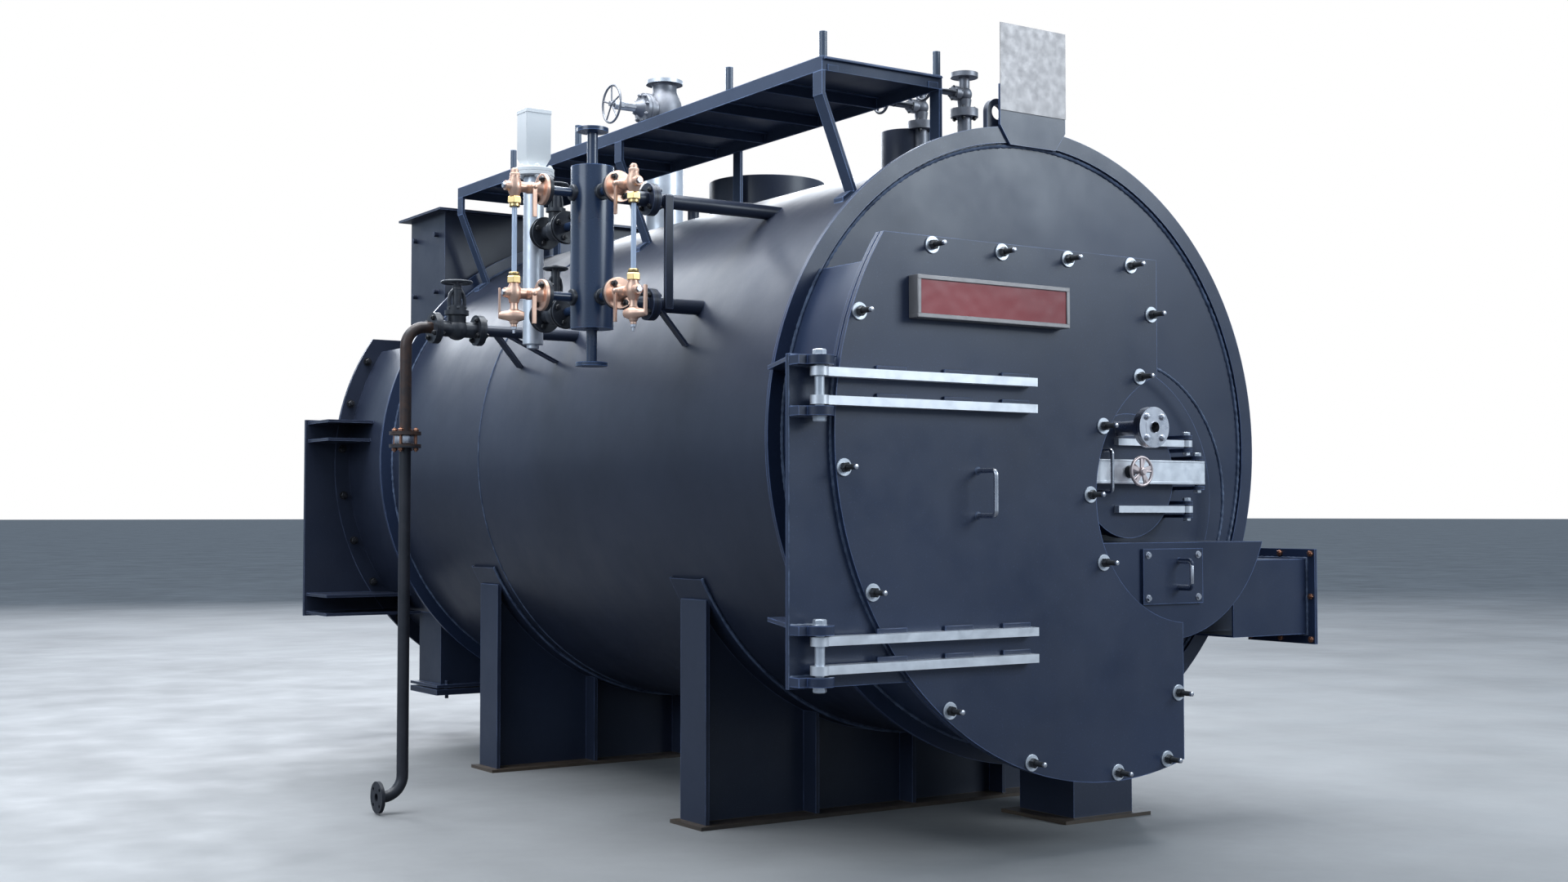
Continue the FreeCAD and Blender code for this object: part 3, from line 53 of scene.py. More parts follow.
# Places of the fittings, as at() takes them
COLUMN_X, COLUMN_Y = -1260, 649
GLASS_RISES = (780, 451)
HEADER_RISES = (785, 447)
ISOLATOR_RISES = (700, 425)
ISOLATOR_Y = COLUMN_Y + 255
FEED_X, FEED_Y, FEED_RISE = -1345, 1500, 422
FEED_JOINT_X, FEED_JOINT_RISE = -1532, 24
STEAM_Y, STEAM_RISE = 2380, 1403
TOP_VALVE_YS, TOP_VALVE_RISE = (341, 579), 1135


def at(x, y, z):
    """A point given in millimetres from the shell axis and the front ring's face."""
    return Vector((x / 1000, FACE_Y + y / 1000, AXIS_Z + z / 1000))


# Materials


def socket(group, *names):
    """The first of several names that a node has, as they differ between versions."""
    for name in names:
        if name in group:
            return group[name]
    raise KeyError(names)


class Surface:
    """Builds one procedural material."""

    def __init__(self, name, metallic=0.0, specular=0.5, coat=0.0, coat_rough=0.2):
        self.material = bpy.data.materials.new(name)
        self.material.use_nodes = True
        self.tree = self.material.node_tree
        self.shader = self.tree.nodes["Principled BSDF"]
        self.shader.inputs["Metallic"].default_value = metallic
        socket(self.shader.inputs, "Specular IOR Level", "Specular").default_value = specular
        if coat:
            socket(self.shader.inputs, "Coat Weight", "Coat").default_value = coat
            self.shader.inputs["Coat Roughness"].default_value = coat_rough
        self.coords = self.tree.nodes.new("ShaderNodeTexCoord").outputs["Object"]
        self.height = None

    def link(self, start, end):
        self.tree.links.new(start, end)

    def noise(self, scale, detail=4.0, rough=0.55, stretch=None):
        source = self.coords
        if stretch:
            mapping = self.tree.nodes.new("ShaderNodeMapping")
            mapping.inputs["Scale"].default_value = stretch
            self.link(source, mapping.inputs["Vector"])
            source = mapping.outputs["Vector"]
        texture = self.tree.nodes.new("ShaderNodeTexNoise")
        texture.inputs["Scale"].default_value = scale
        texture.inputs["Detail"].default_value = detail
        texture.inputs["Roughness"].default_value = rough
        self.link(source, texture.inputs["Vector"])
        return texture.outputs["Fac"]

    def span(self, value, low_in, high_in, low, high):
        node = self.tree.nodes.new("ShaderNodeMapRange")
        for name, number in (("From Min", low_in), ("From Max", high_in), ("To Min", low), ("To Max", high)):
            node.inputs[name].default_value = number
        self.link(value, node.inputs["Value"])
        return node.outputs["Result"]

    def mix(self, amount, first, second):
        node = self.tree.nodes.new("ShaderNodeMix")
        node.data_type = "RGBA"
        self.link(amount, node.inputs["Factor"])
        for number, colour in ((6, first), (7, second)):
            if isinstance(colour, tuple):
                node.inputs[number].default_value = (*colour, 1)
            else:
                self.link(colour, node.inputs[number])
        return node.outputs[2]

    def edges(self, width):
        """How near a sharp edge a point is, broken up by noise; the mask of the painted edge highlight."""
        round_off = self.tree.nodes.new("ShaderNodeBevel")
        round_off.samples = 4
        round_off.inputs["Radius"].default_value = width
        compare = self.tree.nodes.new("ShaderNodeVectorMath")
        compare.operation = "DOT_PRODUCT"
        self.link(round_off.outputs[0], compare.inputs[0])
        self.link(self.tree.nodes.new("ShaderNodeNewGeometry").outputs["Normal"], compare.inputs[1])
        near = self.span(compare.outputs["Value"], 0.86, 0.985, 1, 0)
        product = self.tree.nodes.new("ShaderNodeMath")
        product.operation = "MULTIPLY"
        self.link(near, product.inputs[0])
        self.link(self.span(self.noise(9, 4), 0.36, 0.6, 0.3, 1.0), product.inputs[1])
        return product.outputs[0]

    def below(self, level):
        """1 under a height in metres, 0 above it."""
        split = self.tree.nodes.new("ShaderNodeSeparateXYZ")
        self.link(self.coords, split.inputs[0])
        return self.span(split.outputs["Z"], level - 0.0005, level + 0.0005, 1, 0)

    def colour(self, value):
        self.link(value, self.shader.inputs["Base Color"])

    def rough(self, value):
        self.link(value, self.shader.inputs["Roughness"])

    def bump(self, value, strength, distance):
        node = self.tree.nodes.new("ShaderNodeBump")
        node.inputs["Strength"].default_value = strength
        node.inputs["Distance"].default_value = distance
        self.link(value, node.inputs["Height"])
        if self.height:
            self.link(self.height, node.inputs["Normal"])
        self.height = node.outputs["Normal"]
        self.link(self.height, self.shader.inputs["Normal"])


# Height in metres of the plates on the floor, and the two tones of the dirt on them
BASE_PLATE = 0.0135
BASE_DIRT = ((0.035, 0.026, 0.02), (0.11, 0.08, 0.055))


def paint(name, dark, light, rough=(0.3, 0.46), coat=0.25, wave=0.35, edge_highlight_width=0.0045, base=False):
    """Sprayed satin paint on plate: faint cloudiness, dust, a painted highlight along the sharp edges and the
    plate's own unevenness.
    """
    made = Surface(name, specular=0.5, coat=coat, coat_rough=0.25)
    cloud = made.span(made.noise(1.7, 5), 0.3, 0.72, 0, 1)
    speck = made.span(made.noise(240, 2), 0.62, 0.8, 0, 0.35)
    tint = made.mix(cloud, dark, light)
    dust = tuple(min(1, 3.0 * part + 0.01) for part in light)
    # painted highlight: a much lighter tone on the sharp edges, where they would catch the light
    edge_highlight = tuple(min(1, 5.5 * part + 0.05) for part in light)
    paint_with_highlight = made.mix(made.edges(edge_highlight_width), made.mix(speck, tint, dust), edge_highlight)
    if base:
        paint_with_highlight = made.mix(made.below(BASE_PLATE), paint_with_highlight, made.mix(cloud, *BASE_DIRT))
    made.colour(paint_with_highlight)
    made.rough(made.span(made.noise(6, 6), 0.3, 0.7, *rough))
    made.bump(made.noise(2.6, 2), wave, 0.004)
    made.bump(made.noise(420, 2), 0.12, 0.0005)
    return made.material


def bare(name, tone, rough=(0.22, 0.42), stretch=None, grain=160, metallic=1.0, stain=0.3,
         dirt=(0.12, 0.11, 0.1)):
    """Bare or silvered metal, with stains and fine scratches."""
    made = Surface(name, metallic=metallic)
    blotch = made.span(made.noise(14, 5), 0.45, 0.75, 0, stain)
    made.colour(made.mix(blotch, tone, dirt))
    made.rough(made.span(made.noise(35, 5), 0.3, 0.7, *rough))
    made.bump(made.noise(grain, 3, stretch=stretch), 0.18, 0.0006)
    return made.material


def casting(name, dark, light, rough=(0.38, 0.55), grain=130, low=None):
    """Rough cast or scaled metal; low is a height and the two tones used below it."""
    made = Surface(name, specular=0.45, coat=0.15)
    tone = made.mix(made.span(made.noise(22, 5), 0.35, 0.7, 0, 1), dark, light)
    if low:
        level, *tones = low
        under = made.mix(made.span(made.noise(9, 4), 0.3, 0.7, 0, 1), *tones)
        tone = made.mix(made.below(level), tone, under)
    made.colour(tone)
    made.rough(made.span(made.noise(40, 4), 0.3, 0.7, *rough))
    made.bump(made.noise(grain, 3), 0.35, 0.0009)
    return made.material


DARK = paint("paint_dark", (0.010, 0.015, 0.032), (0.019, 0.026, 0.05), rough=(0.42, 0.56))
# painted light: the shell's navy paint made lighter and bluer for the front plates and fittings, as if lit
# from the front
FRONT_LIT_PAINT = paint("paint_front_lit", (0.013, 0.022, 0.050), (0.021, 0.034, 0.074), wave=0.5)
FOOT = paint("paint_foot", (0.010, 0.016, 0.036), (0.019, 0.028, 0.056), rough=(0.42, 0.56), base=True)
DECK = paint("paint_deck", (0.026, 0.041, 0.078), (0.045, 0.067, 0.12), rough=(0.52, 0.66), coat=0)
POST = paint("paint_post", (0.05, 0.07, 0.105), (0.08, 0.105, 0.15))
COLUMN_PAINT = paint("paint_column", (0.014, 0.030, 0.07), (0.022, 0.044, 0.10),
                     rough=(0.24, 0.34), coat=0.6)
CAST = casting("cast_dark", (0.012, 0.014, 0.02), (0.045, 0.05, 0.062))
SILVER = bare("silver_paint", (0.72, 0.75, 0.80), rough=(0.3, 0.48), metallic=0.75, stain=0.25)
STRAP = bare("silver_strap", (0.88, 0.89, 0.92), rough=(0.3, 0.45), metallic=0.7, stain=0.18, grain=90)
STEEL = bare("steel_bright", (0.66, 0.66, 0.7), rough=(0.22, 0.38))
WHEEL = bare("wheel_metal", (0.72, 0.60, 0.58), rough=(0.3, 0.5), metallic=0.85, grain=90)
BRASS = bare("cock_bronze", (0.86, 0.56, 0.42), rough=(0.34, 0.52), metallic=0.8, stain=0.35,
             dirt=(0.24, 0.11, 0.07), grain=120)
AGED = bare("valve_steel", (0.26, 0.265, 0.29), rough=(0.4, 0.55), metallic=0.7, stain=0.5,
            dirt=(0.05, 0.045, 0.045))
NUT = bare("nut_brass", (0.78, 0.56, 0.26), rough=(0.25, 0.42), stain=0.3, dirt=(0.16, 0.08, 0.03))
COPPER = bare("bolt_copper", (0.45, 0.22, 0.14), rough=(0.35, 0.55), stain=0.5, dirt=(0.06, 0.03, 0.02))
RUST = casting("pipe_rusty", (0.022, 0.017, 0.018), (0.075, 0.036, 0.022), rough=(0.4, 0.6),
               low=(1.25, (0.012, 0.014, 0.02), (0.026, 0.026, 0.034)))
SHEET = bare("aluminium_sheet", (0.29, 0.272, 0.27), rough=(0.36, 0.5), metallic=0.55, stain=0.12,
             grain=300, stretch=(1, 1, 30))
GREY = paint("enamel_grey", (0.80, 0.81, 0.80), (0.92, 0.92, 0.92), rough=(0.4, 0.55), coat=0.1, wave=0.1)
RED = paint("enamel_red", (0.22, 0.008, 0.012), (0.36, 0.016, 0.022), rough=(0.3, 0.45), wave=0.1)
WELD = casting("weld_bead", (0.035, 0.05, 0.09), (0.13, 0.17, 0.26), rough=(0.3, 0.45), grain=320)
BLACK = casting("stud_black", (0.01, 0.01, 0.012), (0.03, 0.03, 0.034), rough=(0.35, 0.5))


def glass():
    made = Surface("gauge_glass", specular=0.6)
    # painted brightness: a light, mostly opaque bluish-white stands in for the light that the clear glass
    # reflects and lets through
    made.shader.inputs["Base Color"].default_value = (0.66, 0.76, 0.92, 1)
    made.shader.inputs["Roughness"].default_value = 0.06
    socket(made.shader.inputs, "Transmission Weight", "Transmission").default_value = 0.25
    return made.material


GLASS = glass()

FINISH = {
    FRONT_LIT_PAINT: ["smokebox_door", "front_smokebox", "hinge_plate", "tube_plates", "end_rings", "furnace_mouth",
            "fire_door", "ash_box", "ash_door", "air_duct", "fire_door_hinges", "board_bracket"],
    FOOT: ["saddles", "front_foot", "rear_foot"],
    STRAP: ["door_straps", "fire_door_straps", "clamp_bar"],
    SILVER: ["steam_nozzle", "steam_valve"],
    AGED: ["top_valves", "steam_valve_wheel", "top_valve_wheel_1", "top_valve_wheel_2"],
    STEEL: ["door_handle", "fire_door_handle", "burner_nozzle"],
    POST: ["handrail_sockets"],
    COLUMN_PAINT: ["water_column"],
    WHEEL: ["clamp_handwheel"],
    CAST: ["feed_valve", "feed_valve_wheel", "isolating_valves", "isolator_wheel_1",
           "isolator_wheel_2"],
    BRASS: ["gauge_cocks"],
    GLASS: ["gauge_glasses"],
    DECK: ["walkway_deck", "walkway_frame", "walkway_legs"],
    RUST: ["feed_pipe"],
    SHEET: ["name_board"],
}
finish_of = {node: material for material, names in FINISH.items() for node in names}
SHARP = math.radians(32)


def soften(obj, width=0.0015, segments=2):
    """Smooth round faces and a small rounded edge."""
    for face in obj.data.polygons:
        face.use_smooth = True
    if width:
        bevel = obj.modifiers.new("edge", "BEVEL")
        bevel.width = width
        bevel.segments = segments
        bevel.limit_method = "ANGLE"
        bevel.angle_limit = SHARP
        bevel.use_clamp_overlap = True
        bevel.harden_normals = False
    bm = bmesh.new()
    bm.from_mesh(obj.data)
    for edge in bm.edges:
        if len(edge.link_faces) == 2 and edge.calc_face_angle(0) > SHARP:
            edge.smooth = False
    marks = [edge.smooth for edge in bm.edges]
    bm.free()
    for edge, smooth in zip(obj.data.edges, marks):
        edge.use_edge_sharp = not smooth


def dress(obj, material):
    """Puts one material on every slot of an object."""
    if not obj.material_slots:
        obj.data.materials.append(material)
    for holder in obj.material_slots:
        holder.link = "OBJECT"
        holder.material = material


for node, obj in NODES.items():
    dress(obj, finish_of.get(node, DARK))
    soften(obj, 0)


# Mesh helpers; their points and sizes are in metres


def basis(axis):
    """A rotation whose Z runs along the axis."""
    return Vector(axis).to_track_quat("Z", "Y").to_matrix().to_4x4()


def add_lathe(bm, profile, origin, axis, segments=32):
    """Turns (radius, height) pairs round an axis from an origin."""
    turn = Matrix.Translation(origin) @ basis(axis)
    rings = []
    for radius, height in profile:
        if radius <= 0:
            rings.append([bm.verts.new(turn @ Vector((0, 0, height)))])
            continue
        steps = (2 * math.pi * k / segments for k in range(segments))
        rings.append([bm.verts.new(turn @ Vector((radius * math.cos(step), radius * math.sin(step), height)))
                      for step in steps])
    for low, high in zip(rings, rings[1:]):
        for k in range(segments):
            n = (k + 1) % segments
            if len(low) == 1 and len(high) > 1:
                bm.faces.new((low[0], high[n], high[k]))
            elif len(high) == 1 and len(low) > 1:
                bm.faces.new((low[k], low[n], high[0]))
            elif len(low) > 1:
                bm.faces.new((low[k], low[n], high[n], high[k]))


def add_skin(bm, rings):
    """Faces between rings of the same length, and a cap at each end."""
    for low, high in zip(rings, rings[1:]):
        for k in range(len(low)):
            n = (k + 1) % len(low)
            bm.faces.new((low[k], low[n], high[n], high[k]))
    bm.faces.new(rings[-1])
    bm.faces.new(list(reversed(rings[0])))


def add_hex(bm, origin, axis, radius, height, spin=0.0):
    """A hexagon head with its corners taken off."""
    turn = Matrix.Translation(origin) @ basis(axis)
    rings = []
    for size, level in ((radius, 0), (radius, height * 0.82), (radius * 0.86, height)):
        corners = (spin + k * math.pi / 3 for k in range(6))
        rings.append([bm.verts.new(turn @ Vector((size * math.cos(corner), size * math.sin(corner), level)))
                      for corner in corners])
    add_skin(bm, rings)


def add_box(bm, low, high, turn=None):
    """A box between two corners, then turned and moved by a matrix."""
    made = bmesh.ops.create_cube(bm, size=1)["verts"]
    low, high = Vector(low), Vector(high)
    for vert in made:
        vert.co = Vector((low[i] + (high[i] - low[i]) * (vert.co[i] + 0.5) for i in range(3)))
        if turn:
            vert.co = turn @ vert.co


BEAD_SCALE = 90


def add_tube(bm, points, radius, segments=8, closed=False, ripple=0.0):
    """A round tube along points; ripple is the share by which its radius swells, as a bead does."""
    points = [Vector(point) for point in points]
    rings = []
    count = len(points)
    normal = None
    for index, point in enumerate(points):
        before = points[index - 1] if index or closed else point
        after = points[(index + 1) % count] if index < count - 1 or closed else point
        along = (after - before).normalized()
        if normal is None:
            normal = along.orthogonal().normalized()
        normal = (normal - along * normal.dot(along)).normalized()
        side = along.cross(normal)
        swell = 1 + ripple * (noise.noise(point * BEAD_SCALE) + 0.8 * math.sin(index * 1.9))
        steps = (2 * math.pi * k / segments for k in range(segments))
        rings.append([bm.verts.new(point + (normal * math.cos(step) + side * math.sin(step)) * radius * swell)
                      for step in steps])
    pairs = list(zip(rings, rings[1:])) + ([(rings[-1], rings[0])] if closed else [])
    for low, high in pairs:
        for k in range(segments):
            bm.faces.new((low[k], low[(k + 1) % segments], high[(k + 1) % segments], high[k]))
    if not closed:
        bm.faces.new(list(reversed(rings[0])))
        bm.faces.new(rings[-1])


def piece(name, build, material, body="boiler", edge=0.0):
    """Makes one object from a function that fills a bmesh."""
    bm = bmesh.new()
    build(bm)
    bmesh.ops.recalc_face_normals(bm, faces=bm.faces)
    mesh = bpy.data.meshes.new(name)
    bm.to_mesh(mesh)
    bm.free()
    obj = bpy.data.objects.new(name, mesh)
    bpy.context.scene.collection.objects.link(obj)
    mesh.materials.append(material)
    soften(obj, edge)
    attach(obj, body)
    return obj


def ring_points(centre, axis, radius, count=4, start=45.0):
    """Points spaced round an axis."""
    turn = Matrix.Translation(centre) @ basis(axis)
    angles = (math.radians(start + 360 * k / count) for k in range(count))
    return [turn @ Vector((radius * math.cos(angle), radius * math.sin(angle), 0)) for angle in angles]


def flange_bolts(bm, centre, axis, radius, grip, size=0.009, count=4, start=45.0):
    """Studs through a flange pair with a nut at each end; grip is the pair's thickness."""
    axis = Vector(axis).normalized()
    end, tip = grip / 2 + size * 1.3, grip / 2 + size * 1.35
    for spot in ring_points(centre, axis, radius, count, start):
        add_lathe(bm, [(0, -tip), (size * 0.5, -end), (size * 0.5, end), (0, tip)], spot, axis, 10)
        for side in (-1, 1):
            add_hex(bm, spot + axis * side * grip / 2, axis * side, size, size * 0.9, spin=spot.x * 40)


def weld(name, points, radius=0.0045, closed=False):
    """A weld bead along points."""
    return piece(name, lambda bm: add_tube(bm, points, radius, 8, closed, 0.22), WELD)


def arc(centre, radius, start, end, y, step=0.007):
    """Points of an arc in the X-Z plane, angles in degrees from +X towards +Z."""
    count = max(4, int(abs(math.radians(end - start)) * radius / step))
    angles = (math.radians(start + (end - start) * k / count) for k in range(count + 1))
    return [Vector((centre[0] + radius * math.cos(angle), y, centre[1] + radius * math.sin(angle)))
            for angle in angles]


def line(start, end, step=0.007):
    """Points of a straight line."""
    start, end = Vector(start), Vector(end)
    count = max(2, int((end - start).length / step))
    return [start.lerp(end, k / count) for k in range(count + 1)]


def hull_circle(radius, y, step=0.008):
    """Points of a whole circle round the shell axis."""
    return arc((0, AXIS_Z), radius, 0, 360, y, step)[:-1]


# Welds and seams on the body

for name, radius, y, bead in (
        ("weld_front_ring", 0.962, FACE_Y + 0.009, 0.006),
        ("weld_front_ring_back", SHELL_R + 0.002, FACE_Y + 0.017, 0.005),
        ("weld_rear_ring", SHELL_R + 0.002, REAR_RING_Y - 0.017, 0.005),
        ("weld_rear_ring_back", SHELL_R + 0.002, REAR_RING_Y + 0.003, 0.005),
        ("seam_shell", SHELL_R, FACE_Y + 2.138, 0.0028)):
    weld(name, hull_circle(radius, y), bead, True)
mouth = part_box("furnace_mouth")
mouth_centre = ((mouth[0].x + mouth[1].x) / 2, (mouth[0].z + mouth[1].z) / 2)
mouth_radius = (mouth[1].x - mouth[0].x) / 2
weld("weld_mouth_rim", arc(mouth_centre, mouth_radius - 0.002, -20, 132, mouth[0].y + 0.0005), 0.0052)
weld("weld_mouth", arc(mouth_centre, mouth_radius + 0.003, -75, 137, FACE_Y + 0.006), 0.006)
ASH_WELD_R = 0.463
weld("weld_ash", arc(mouth_centre, ASH_WELD_R, -80, -19, FACE_Y + 0.006), 0.005)

# Door furniture


def loose_parts(node):
    """Centre, low and high corner of each separate solid of a node."""
    mesh = NODES[node].data
    bm = bmesh.new()
    bm.from_mesh(mesh)
    bmesh.ops.remove_doubles(bm, verts=bm.verts, dist=1e-6)
    found, seen = [], set()
    for start in bm.verts:
        if start.index in seen:
            continue
        stack, island = [start], []
        seen.add(start.index)
        while stack:
            vert = stack.pop()
            island.append(vert.co.copy())
            for edge in vert.link_edges:
                other = edge.other_vert(vert)
                if other.index not in seen:
                    seen.add(other.index)
                    stack.append(other)
        low = Vector((min(co[i] for co in island) for i in range(3)))
        high = Vector((max(co[i] for co in island) for i in range(3)))
        found.append(((low + high) / 2, low, high))
    bm.free()
    return found


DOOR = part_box("smokebox_door")
FRONT_Y = DOOR[0].y
WASHER = 0.005
THREAD_START, THREAD_END, THREAD_PITCH = 0.018, 0.0545, 0.0019
bolts = [Vector((centre.x, FRONT_Y, centre.z)) for centre, _, _ in loose_parts("door_bolts")]


def door_washers(bm):
    for spot in bolts:
        add_lathe(bm, [(0.0095, 0), (0.0245, 0), (0.025, 0.0008), (0.025, 0.0042), (0.0238, WASHER),
                       (0.0095, WASHER)], spot, OUT, 40)


def door_nuts(bm):
    """The nuts and the threaded part of each stud."""
    thread = [(0.0, 0.0)]
    for turn in range(19):
        level = THREAD_START + turn * THREAD_PITCH
        thread += [(0.0078, level), (0.0068, level + THREAD_PITCH / 2)]
    thread += [(0.0076, THREAD_END), (0, THREAD_END)]
    for spot in bolts:
        add_hex(bm, spot + OUT * WASHER, OUT, 0.0148, 0.0155, spin=spot.x * 30)
        add_lathe(bm, thread, spot, OUT, 14)


def door_tips(bm):
    for spot in bolts:
        add_lathe(bm, [(0.0074, THREAD_END), (0.0078, 0.0555), (0.0072, 0.061), (0.0055, 0.062), (0, 0.062)],
                  spot, OUT, 18)


washers = piece("door_washers", door_washers, SILVER, "smokebox_door")
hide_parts("door_bolts")
piece("door_nuts", door_nuts, BLACK, "smokebox_door")
piece("door_stud_tips", door_tips, STEEL, "smokebox_door")

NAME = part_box("name_block")


def name_frame(bm):
    low, high = NAME
    rim, proud = 0.011, 0.005
    y0, y1 = low.y - proud, high.y
    for x0, x1, z0, z1 in ((low.x, high.x, high.z - rim, high.z), (low.x, high.x, low.z, low.z + rim),
                           (low.x, low.x + rim, low.z + rim, high.z - rim),
                           (high.x - rim, high.x, low.z + rim, high.z - rim)):
        add_box(bm, (x0 - 0.001, y0, z0 - 0.001), (x1 + 0.001, y1, z1 + 0.001))


piece("name_frame", name_frame, SHEET, "smokebox_door", edge=0.002)


def name_field(bm):
    """A blank field, slightly uneven."""
    low, high = NAME
    inset, columns, rows = 0.009, 96, 20
    grid = []
    for i in range(columns + 1):
        column = []
        for j in range(rows + 1):
            x = low.x + inset + (high.x - low.x - 2 * inset) * i / columns
            z = low.z + inset + (high.z - low.z - 2 * inset) * j / rows
            y = low.y - 0.0012 - 0.0004 * noise.noise(Vector((x * 30, 0, z * 30)))
            column.append(bm.verts.new((x, y, z)))
        grid.append(column)
    for i in range(columns):
        for j in range(rows):
            bm.faces.new((grid[i][j], grid[i + 1][j], grid[i + 1][j + 1], grid[i][j + 1]))


piece("name_field", name_field, RED, "smokebox_door")

STRAPS = loose_parts("door_straps")


def strap_pads(bm):
    for _, low, high in STRAPS:
        for share in (0.36, 0.66, 0.93):
            x = low.x + (high.x - low.x) * share
            add_box(bm, (x - 0.055, FRONT_Y - 0.010, low.z + 0.002), (x + 0.05, FRONT_Y, high.z + 0.014))


piece("strap_pads", strap_pads, FRONT_LIT_PAINT, "smokebox_door", edge=0.002)

PIN_X = min(low.x for _, low, _ in STRAPS) + 0.026
PIN_Y = FACE_Y - 0.382
PIN_R, PIN_EASE = 0.0142, 0.0002
STRAP_HALF, LUG_GAP, LUG_THICK = 0.0125, 0.005, 0.026
levels = sorted({round(centre.z, 4) for centre, _, _ in STRAPS})
pairs = [(levels[0], levels[1]), (levels[2], levels[3])]


def lug_faces(low, high):
    """Outer and inner face of the lower lug, then inner and outer face of the upper one."""
    return (low - STRAP_HALF - LUG_GAP - LUG_THICK, low - STRAP_HALF - LUG_GAP,
            high + STRAP_HALF + LUG_GAP, high + STRAP_HALF + LUG_GAP + LUG_THICK)


def hinge_pins(bm):
    """The pins between the lugs, with a washer and a nut at each end."""
    for low, high in pairs:
        foot, _, _, head = lug_faces(low, high)
        ends = (foot + LUG_THICK + PIN_EASE, head - LUG_THICK - PIN_EASE)
        add_lathe(bm, [(PIN_R, end) for end in ends], (PIN_X, PIN_Y, 0), UP, 32)
        for level, direction in ((foot, -UP), (head, UP)):
            spot = Vector((PIN_X, PIN_Y, level))
            add_lathe(bm, [(0.0, 0.0), (0.0215, 0.0), (0.0215, 0.002), (PIN_R, 0.002)], spot, direction, 32)
            add_hex(bm, spot + direction * 0.0018, direction, 0.0195, 0.015, spin=0.35)


piece("hinge_pin_ends", hinge_pins, SILVER, "boiler", edge=0.0006)


def lug_feet(bm):
    """Fillet welds where the lugs meet the hinge plate."""
    y = FACE_Y - 0.3355
    for low, high in pairs:
        for level in lug_faces(low, high):
            add_tube(bm, line((-1.173, y, level), (-1.068, y, level)), 0.0035, 8, False, 0.2)


piece("lug_welds", lug_feet, WELD, "boiler")


def handle_feet(bm):
    low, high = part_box("door_handle")
    x = (low.x + high.x) / 2
    for z in (low.z + 0.007, high.z - 0.007):
        add_lathe(bm, [(0.007, 0.003), (0.0105, 0.0016), (0.0125, 0)], (x, FRONT_Y, z), OUT, 20)


piece("handle_welds", handle_feet, WELD, "smokebox_door")

# Fire door, clamp bar and ash door


def fire_flange_bolts(bm):
    low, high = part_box("burner_nozzle")
    centre = Vector(((low.x + high.x) / 2, low.y, (low.z + high.z) / 2))
    for spot in ring_points(centre, OUT, 0.047, 4, 45):
        add_lathe(bm, [(0.0, 0.0), (0.0115, 0.0), (0.0115, 0.0014), (0.008, 0.0016)], spot, OUT, 24)
        add_hex(bm, spot + OUT * 0.0012, OUT, 0.0098, 0.0072, spin=0.3)
        add_lathe(bm, [(0.0052, 0.0), (0.0052, 0.011), (0.0, 0.0115)], spot, OUT, 14)
        add_hex(bm, spot - OUT * 0.030, -OUT, 0.0098, 0.0072, spin=0.5)


piece("nozzle_bolts", fire_flange_bolts, STEEL, "fire_door")


def nozzle_face(bm):
    low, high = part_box("burner_nozzle")
    centre = Vector(((low.x + high.x) / 2, low.y - 0.0006, (low.z + high.z) / 2))
    add_lathe(bm, [(0.0175, 0.004), (0.0175, 0.0), (0.0382, 0.0), (0.0385, -0.0007)], centre, OUT, 64)


piece("nozzle_face", nozzle_face, STEEL, "fire_door")


# The X and the distance out of the pins of the clamp bar's hinge and of the door's two
BAR_PIN = (0.585, 0.155)
DOOR_PIN = (0.552, 0.138)


def fire_pins(bm):
    """A nut at each end of every pin; the bar's hinge is the one between the door's two."""
    parts = sorted(loose_parts("fire_door_hinges"), key=lambda item: item[0].z)
    lowest, highest = parts[0][0].z, parts[-1][0].z
    for centre, low, high in parts:
        x, out = BAR_PIN if lowest + 0.05 < centre.z < highest - 0.05 else DOOR_PIN
        for level, direction in ((low.z + 0.009, -UP), (high.z - 0.009, UP)):
            add_hex(bm, Vector((x, FACE_Y - out, level)), direction, 0.0135, 0.0112, spin=0.2)


piece("fire_hinge_nuts", fire_pins, SILVER, "boiler", edge=0.0005)


def clamp_detail(bm):
    """A raised strip along each long edge of the bar."""
    low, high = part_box("clamp_bar")
    for z0, z1 in ((low.z + 0.001, low.z + 0.009), (high.z - 0.006, high.z - 0.001)):
        add_box(bm, (low.x + 0.001, low.y - 0.0022, z0), (high.x - 0.001, low.y + 0.001, z1))


piece("clamp_bar_edges", clamp_detail, STRAP, "clamp_bar", edge=0.001)


WHEEL_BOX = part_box("clamp_handwheel")
SCREW_X = (WHEEL_BOX[0].x + WHEEL_BOX[1].x) / 2
SCREW_Z = (WHEEL_BOX[0].z + WHEEL_BOX[1].z) / 2


def clamp_boss(bm):
    add_lathe(bm, [(0.0102, -0.001), (0.021, -0.001), (0.021, 0.004), (0.0165, 0.014), (0.0102, 0.014)],
              (SCREW_X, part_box("clamp_bar")[0].y, SCREW_Z), OUT, 40)


piece("clamp_bar_boss", clamp_boss, BLACK, "clamp_bar")


def wheel_face(bm):
    """Flat ribs along the spokes and a boss over the hub, so that the wheel reads as a cast one."""
    centre = Vector((SCREW_X, FACE_Y - 0.222, SCREW_Z))
    spokes = 5
    for k in range(spokes):
        start = math.radians(360 / spokes * k + 90)
        turn = Matrix.Translation(centre) @ basis(BACK) @ Matrix.Rotation(start, 4, "Z")
        add_box(bm, (0.008, -0.0065, -0.003), (0.044, 0.0065, 0.003), turn)
    add_lathe(bm, [(0.0, 0.0122), (0.007, 0.012), (0.0125, 0.0095), (0.0135, 0.0), (0.0125, -0.006)],
              centre, OUT, 32)


piece("clamp_wheel_web", wheel_face, WHEEL, "clamp_handwheel", edge=0.0012)


ASH_TOP, ASH_HEIGHT = -336, 176
ASH_FACE_Y = FACE_Y - 0.275
GRIP_X = 0.372
GRIP_TOP, GRIP_HEIGHT, GRIP_INSET = -372, 92, 6


